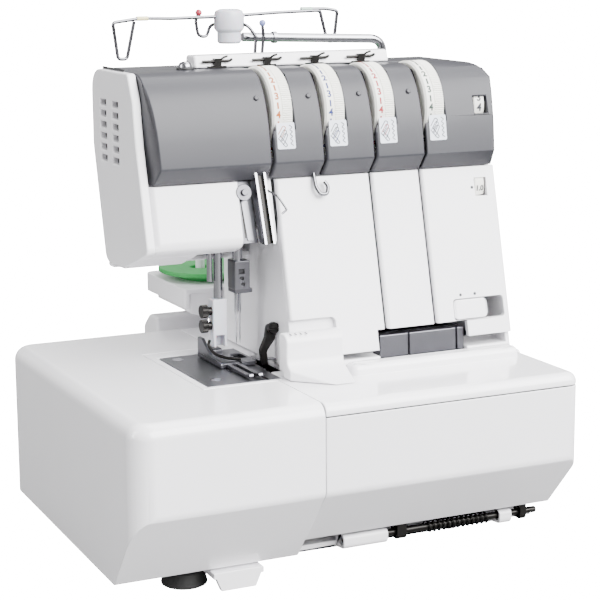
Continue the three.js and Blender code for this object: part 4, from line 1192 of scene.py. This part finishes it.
def makeTray():
    s = trayShape
    tray = mergedCopy("spool_tray", "spoolTray")
    carve(tray, prism("trim", s["slope"], "y", (160, 250)))
    fit(soften(tray, 0.6, 3), "whiteAbs", "spool_tray")
    mat = prism("spoolMat", s["mat"], "z", s["matSpan"], 14)
    weld(mat, prism("matFoot", s["matFoot"], "z", s["footSpan"], 8))
    carve(mat, *[rod("pinRoom", s["pinRoom"], 20, "z", (x, s["pinRow"], 130), 32) for x in s["pins"]])
    fit(soften(mat, 0.8, 3, 50), "greenVinyl", "spool_tray", False)
    grip = prism("rearGrip", s["grip"], "x", s["gripSpan"])
    fit(soften(grip, 2.0, 4, 50), "whiteAbs", "base_casing", False)


makeUnderside()
makeHandwheel()
makeTray()
print("underside, handwheel and tray made")

# the eye's place and turns in degrees, its lens and sensor in millimetres
view = {
    "place": (-417.4, -797.1, 338.6), "heading": -25.32, "down": 11.33, "roll": -0.34, "lens": 106.8,
    "sensor": 36,
}


def makeCamera():
    data = bpy.data.cameras.new("camera")
    camera = bpy.data.objects.new("camera", data)
    bpy.context.scene.collection.objects.link(camera)
    data.lens = view["lens"]
    data.sensor_width = view["sensor"]
    turn = Matrix.Rotation(math.radians(view["heading"]), 4, "Z")
    turn = turn @ Matrix.Rotation(math.radians(90 - view["down"]), 4, "X")
    turn = turn @ Matrix.Rotation(math.radians(view["roll"]), 4, "Z")
    camera.matrix_world = Matrix.Translation(at(*view["place"])) @ turn
    bpy.context.scene.camera = camera


# each light: place and aim in metres, size, power
lights = {
    "topSoftbox": ((0.5, 0.1, 1.6), (0, 0, 0.1), (1.4, 0.9), 30),
    "leftSoftbox": ((-1.5, 0.1, 0.8), (0, 0, 0.12), (0.4, 1.2), 18),
    "frontSoftbox": ((0.7, -1.5, 1.3), (0, 0, 0.16), (2.2, 1.6), 210),
}
studio = {
    "room": 1.5, "backdrop": 22.0, "paper": "#6a6a6a", "paperGlow": 0.97, "paperRoughness": 0.8,
    "floorSize": 12,
    "stripes": ((0, 0.9), (0.22, 0.08), (0.38, 0.8), (0.5, 0.12), (0.6, 0.9), (0.78, 0.08), (1, 0.9)),
}


def makeFloor():
    bpy.ops.object.select_all(action="DESELECT")
    bpy.ops.mesh.primitive_plane_add(size=studio["floorSize"], location=(0, 0, 0))
    floor = bpy.context.object
    floor.name = "floor"
    paper = bpy.data.materials.new("whitePaper")
    paper.use_nodes = True
    tree = paper.node_tree
    sockets = tree.nodes["Principled BSDF"].inputs
    sockets["Base Color"].default_value = colour(studio["paper"])
    sockets["Roughness"].default_value = studio["paperRoughness"]
    # to the eye the paper glows like the backdrop; it throws back little light itself
    ray = addNode(tree, "ShaderNodeLightPath").outputs["Is Camera Ray"]
    glow = addNode(tree, "ShaderNodeMapRange", Value=ray)
    glow.inputs["To Max"].default_value = studio["backdrop"] * studio["paperGlow"]
    sockets["Emission Color"].default_value = colour("#ffffff")
    tree.links.new(glow.outputs["Result"], sockets["Emission Strength"])
    floor.data.materials.append(paper)


def makeRoom():
    world = bpy.data.worlds.new("studio")
    bpy.context.scene.world = world
    world.use_nodes = True
    tree = world.node_tree
    background = tree.nodes["Background"].inputs
    # the eye sees bright paper all round, while surfaces reflect a dimmer room
    ray = addNode(tree, "ShaderNodeLightPath").outputs["Is Camera Ray"]
    seen = addNode(tree, "ShaderNodeMapRange", Value=ray)
    seen.inputs["To Min"].default_value = studio["room"]
    seen.inputs["To Max"].default_value = studio["backdrop"]
    tree.links.new(seen.outputs["Result"], background["Strength"])
    # light and dark walls give the metals something to mirror
    around = addNode(tree, "ShaderNodeTexCoord").outputs["Generated"]
    place = addNode(tree, "ShaderNodeSeparateXYZ", Vector=around)
    across = addNode(tree, "ShaderNodeMapRange", Value=place.outputs["X"])
    across.inputs["From Min"].default_value = -1
    walls = addNode(tree, "ShaderNodeValToRGB", Fac=across.outputs["Result"])
    for i, (spot, level) in enumerate(studio["stripes"]):
        stop = walls.color_ramp.elements[i] if i < 2 else walls.color_ramp.elements.new(spot)
        stop.position = spot
        stop.color = (level, level, level, 1)
    either = addNode(tree, "ShaderNodeMix", {"data_type": "RGBA"})
    tree.links.new(ray, either.inputs[0])
    tree.links.new(walls.outputs["Color"], either.inputs[6])
    either.inputs[7].default_value = colour("#ffffff")
    tree.links.new(either.outputs[2], background["Color"])


def makeLights():
    for name, (place, target, size, power) in lights.items():
        data = bpy.data.lights.new(name, "AREA")
        data.shape = "RECTANGLE"
        data.size, data.size_y = size
        data.energy = power
        lamp = bpy.data.objects.new(name, data)
        bpy.context.scene.collection.objects.link(lamp)
        lamp.location = place
        lamp.rotation_euler = (Vector(target) - Vector(place)).to_track_quat("-Z", "Y").to_euler()


makeCamera()
makeFloor()
makeRoom()
makeLights()
print("studio ready")
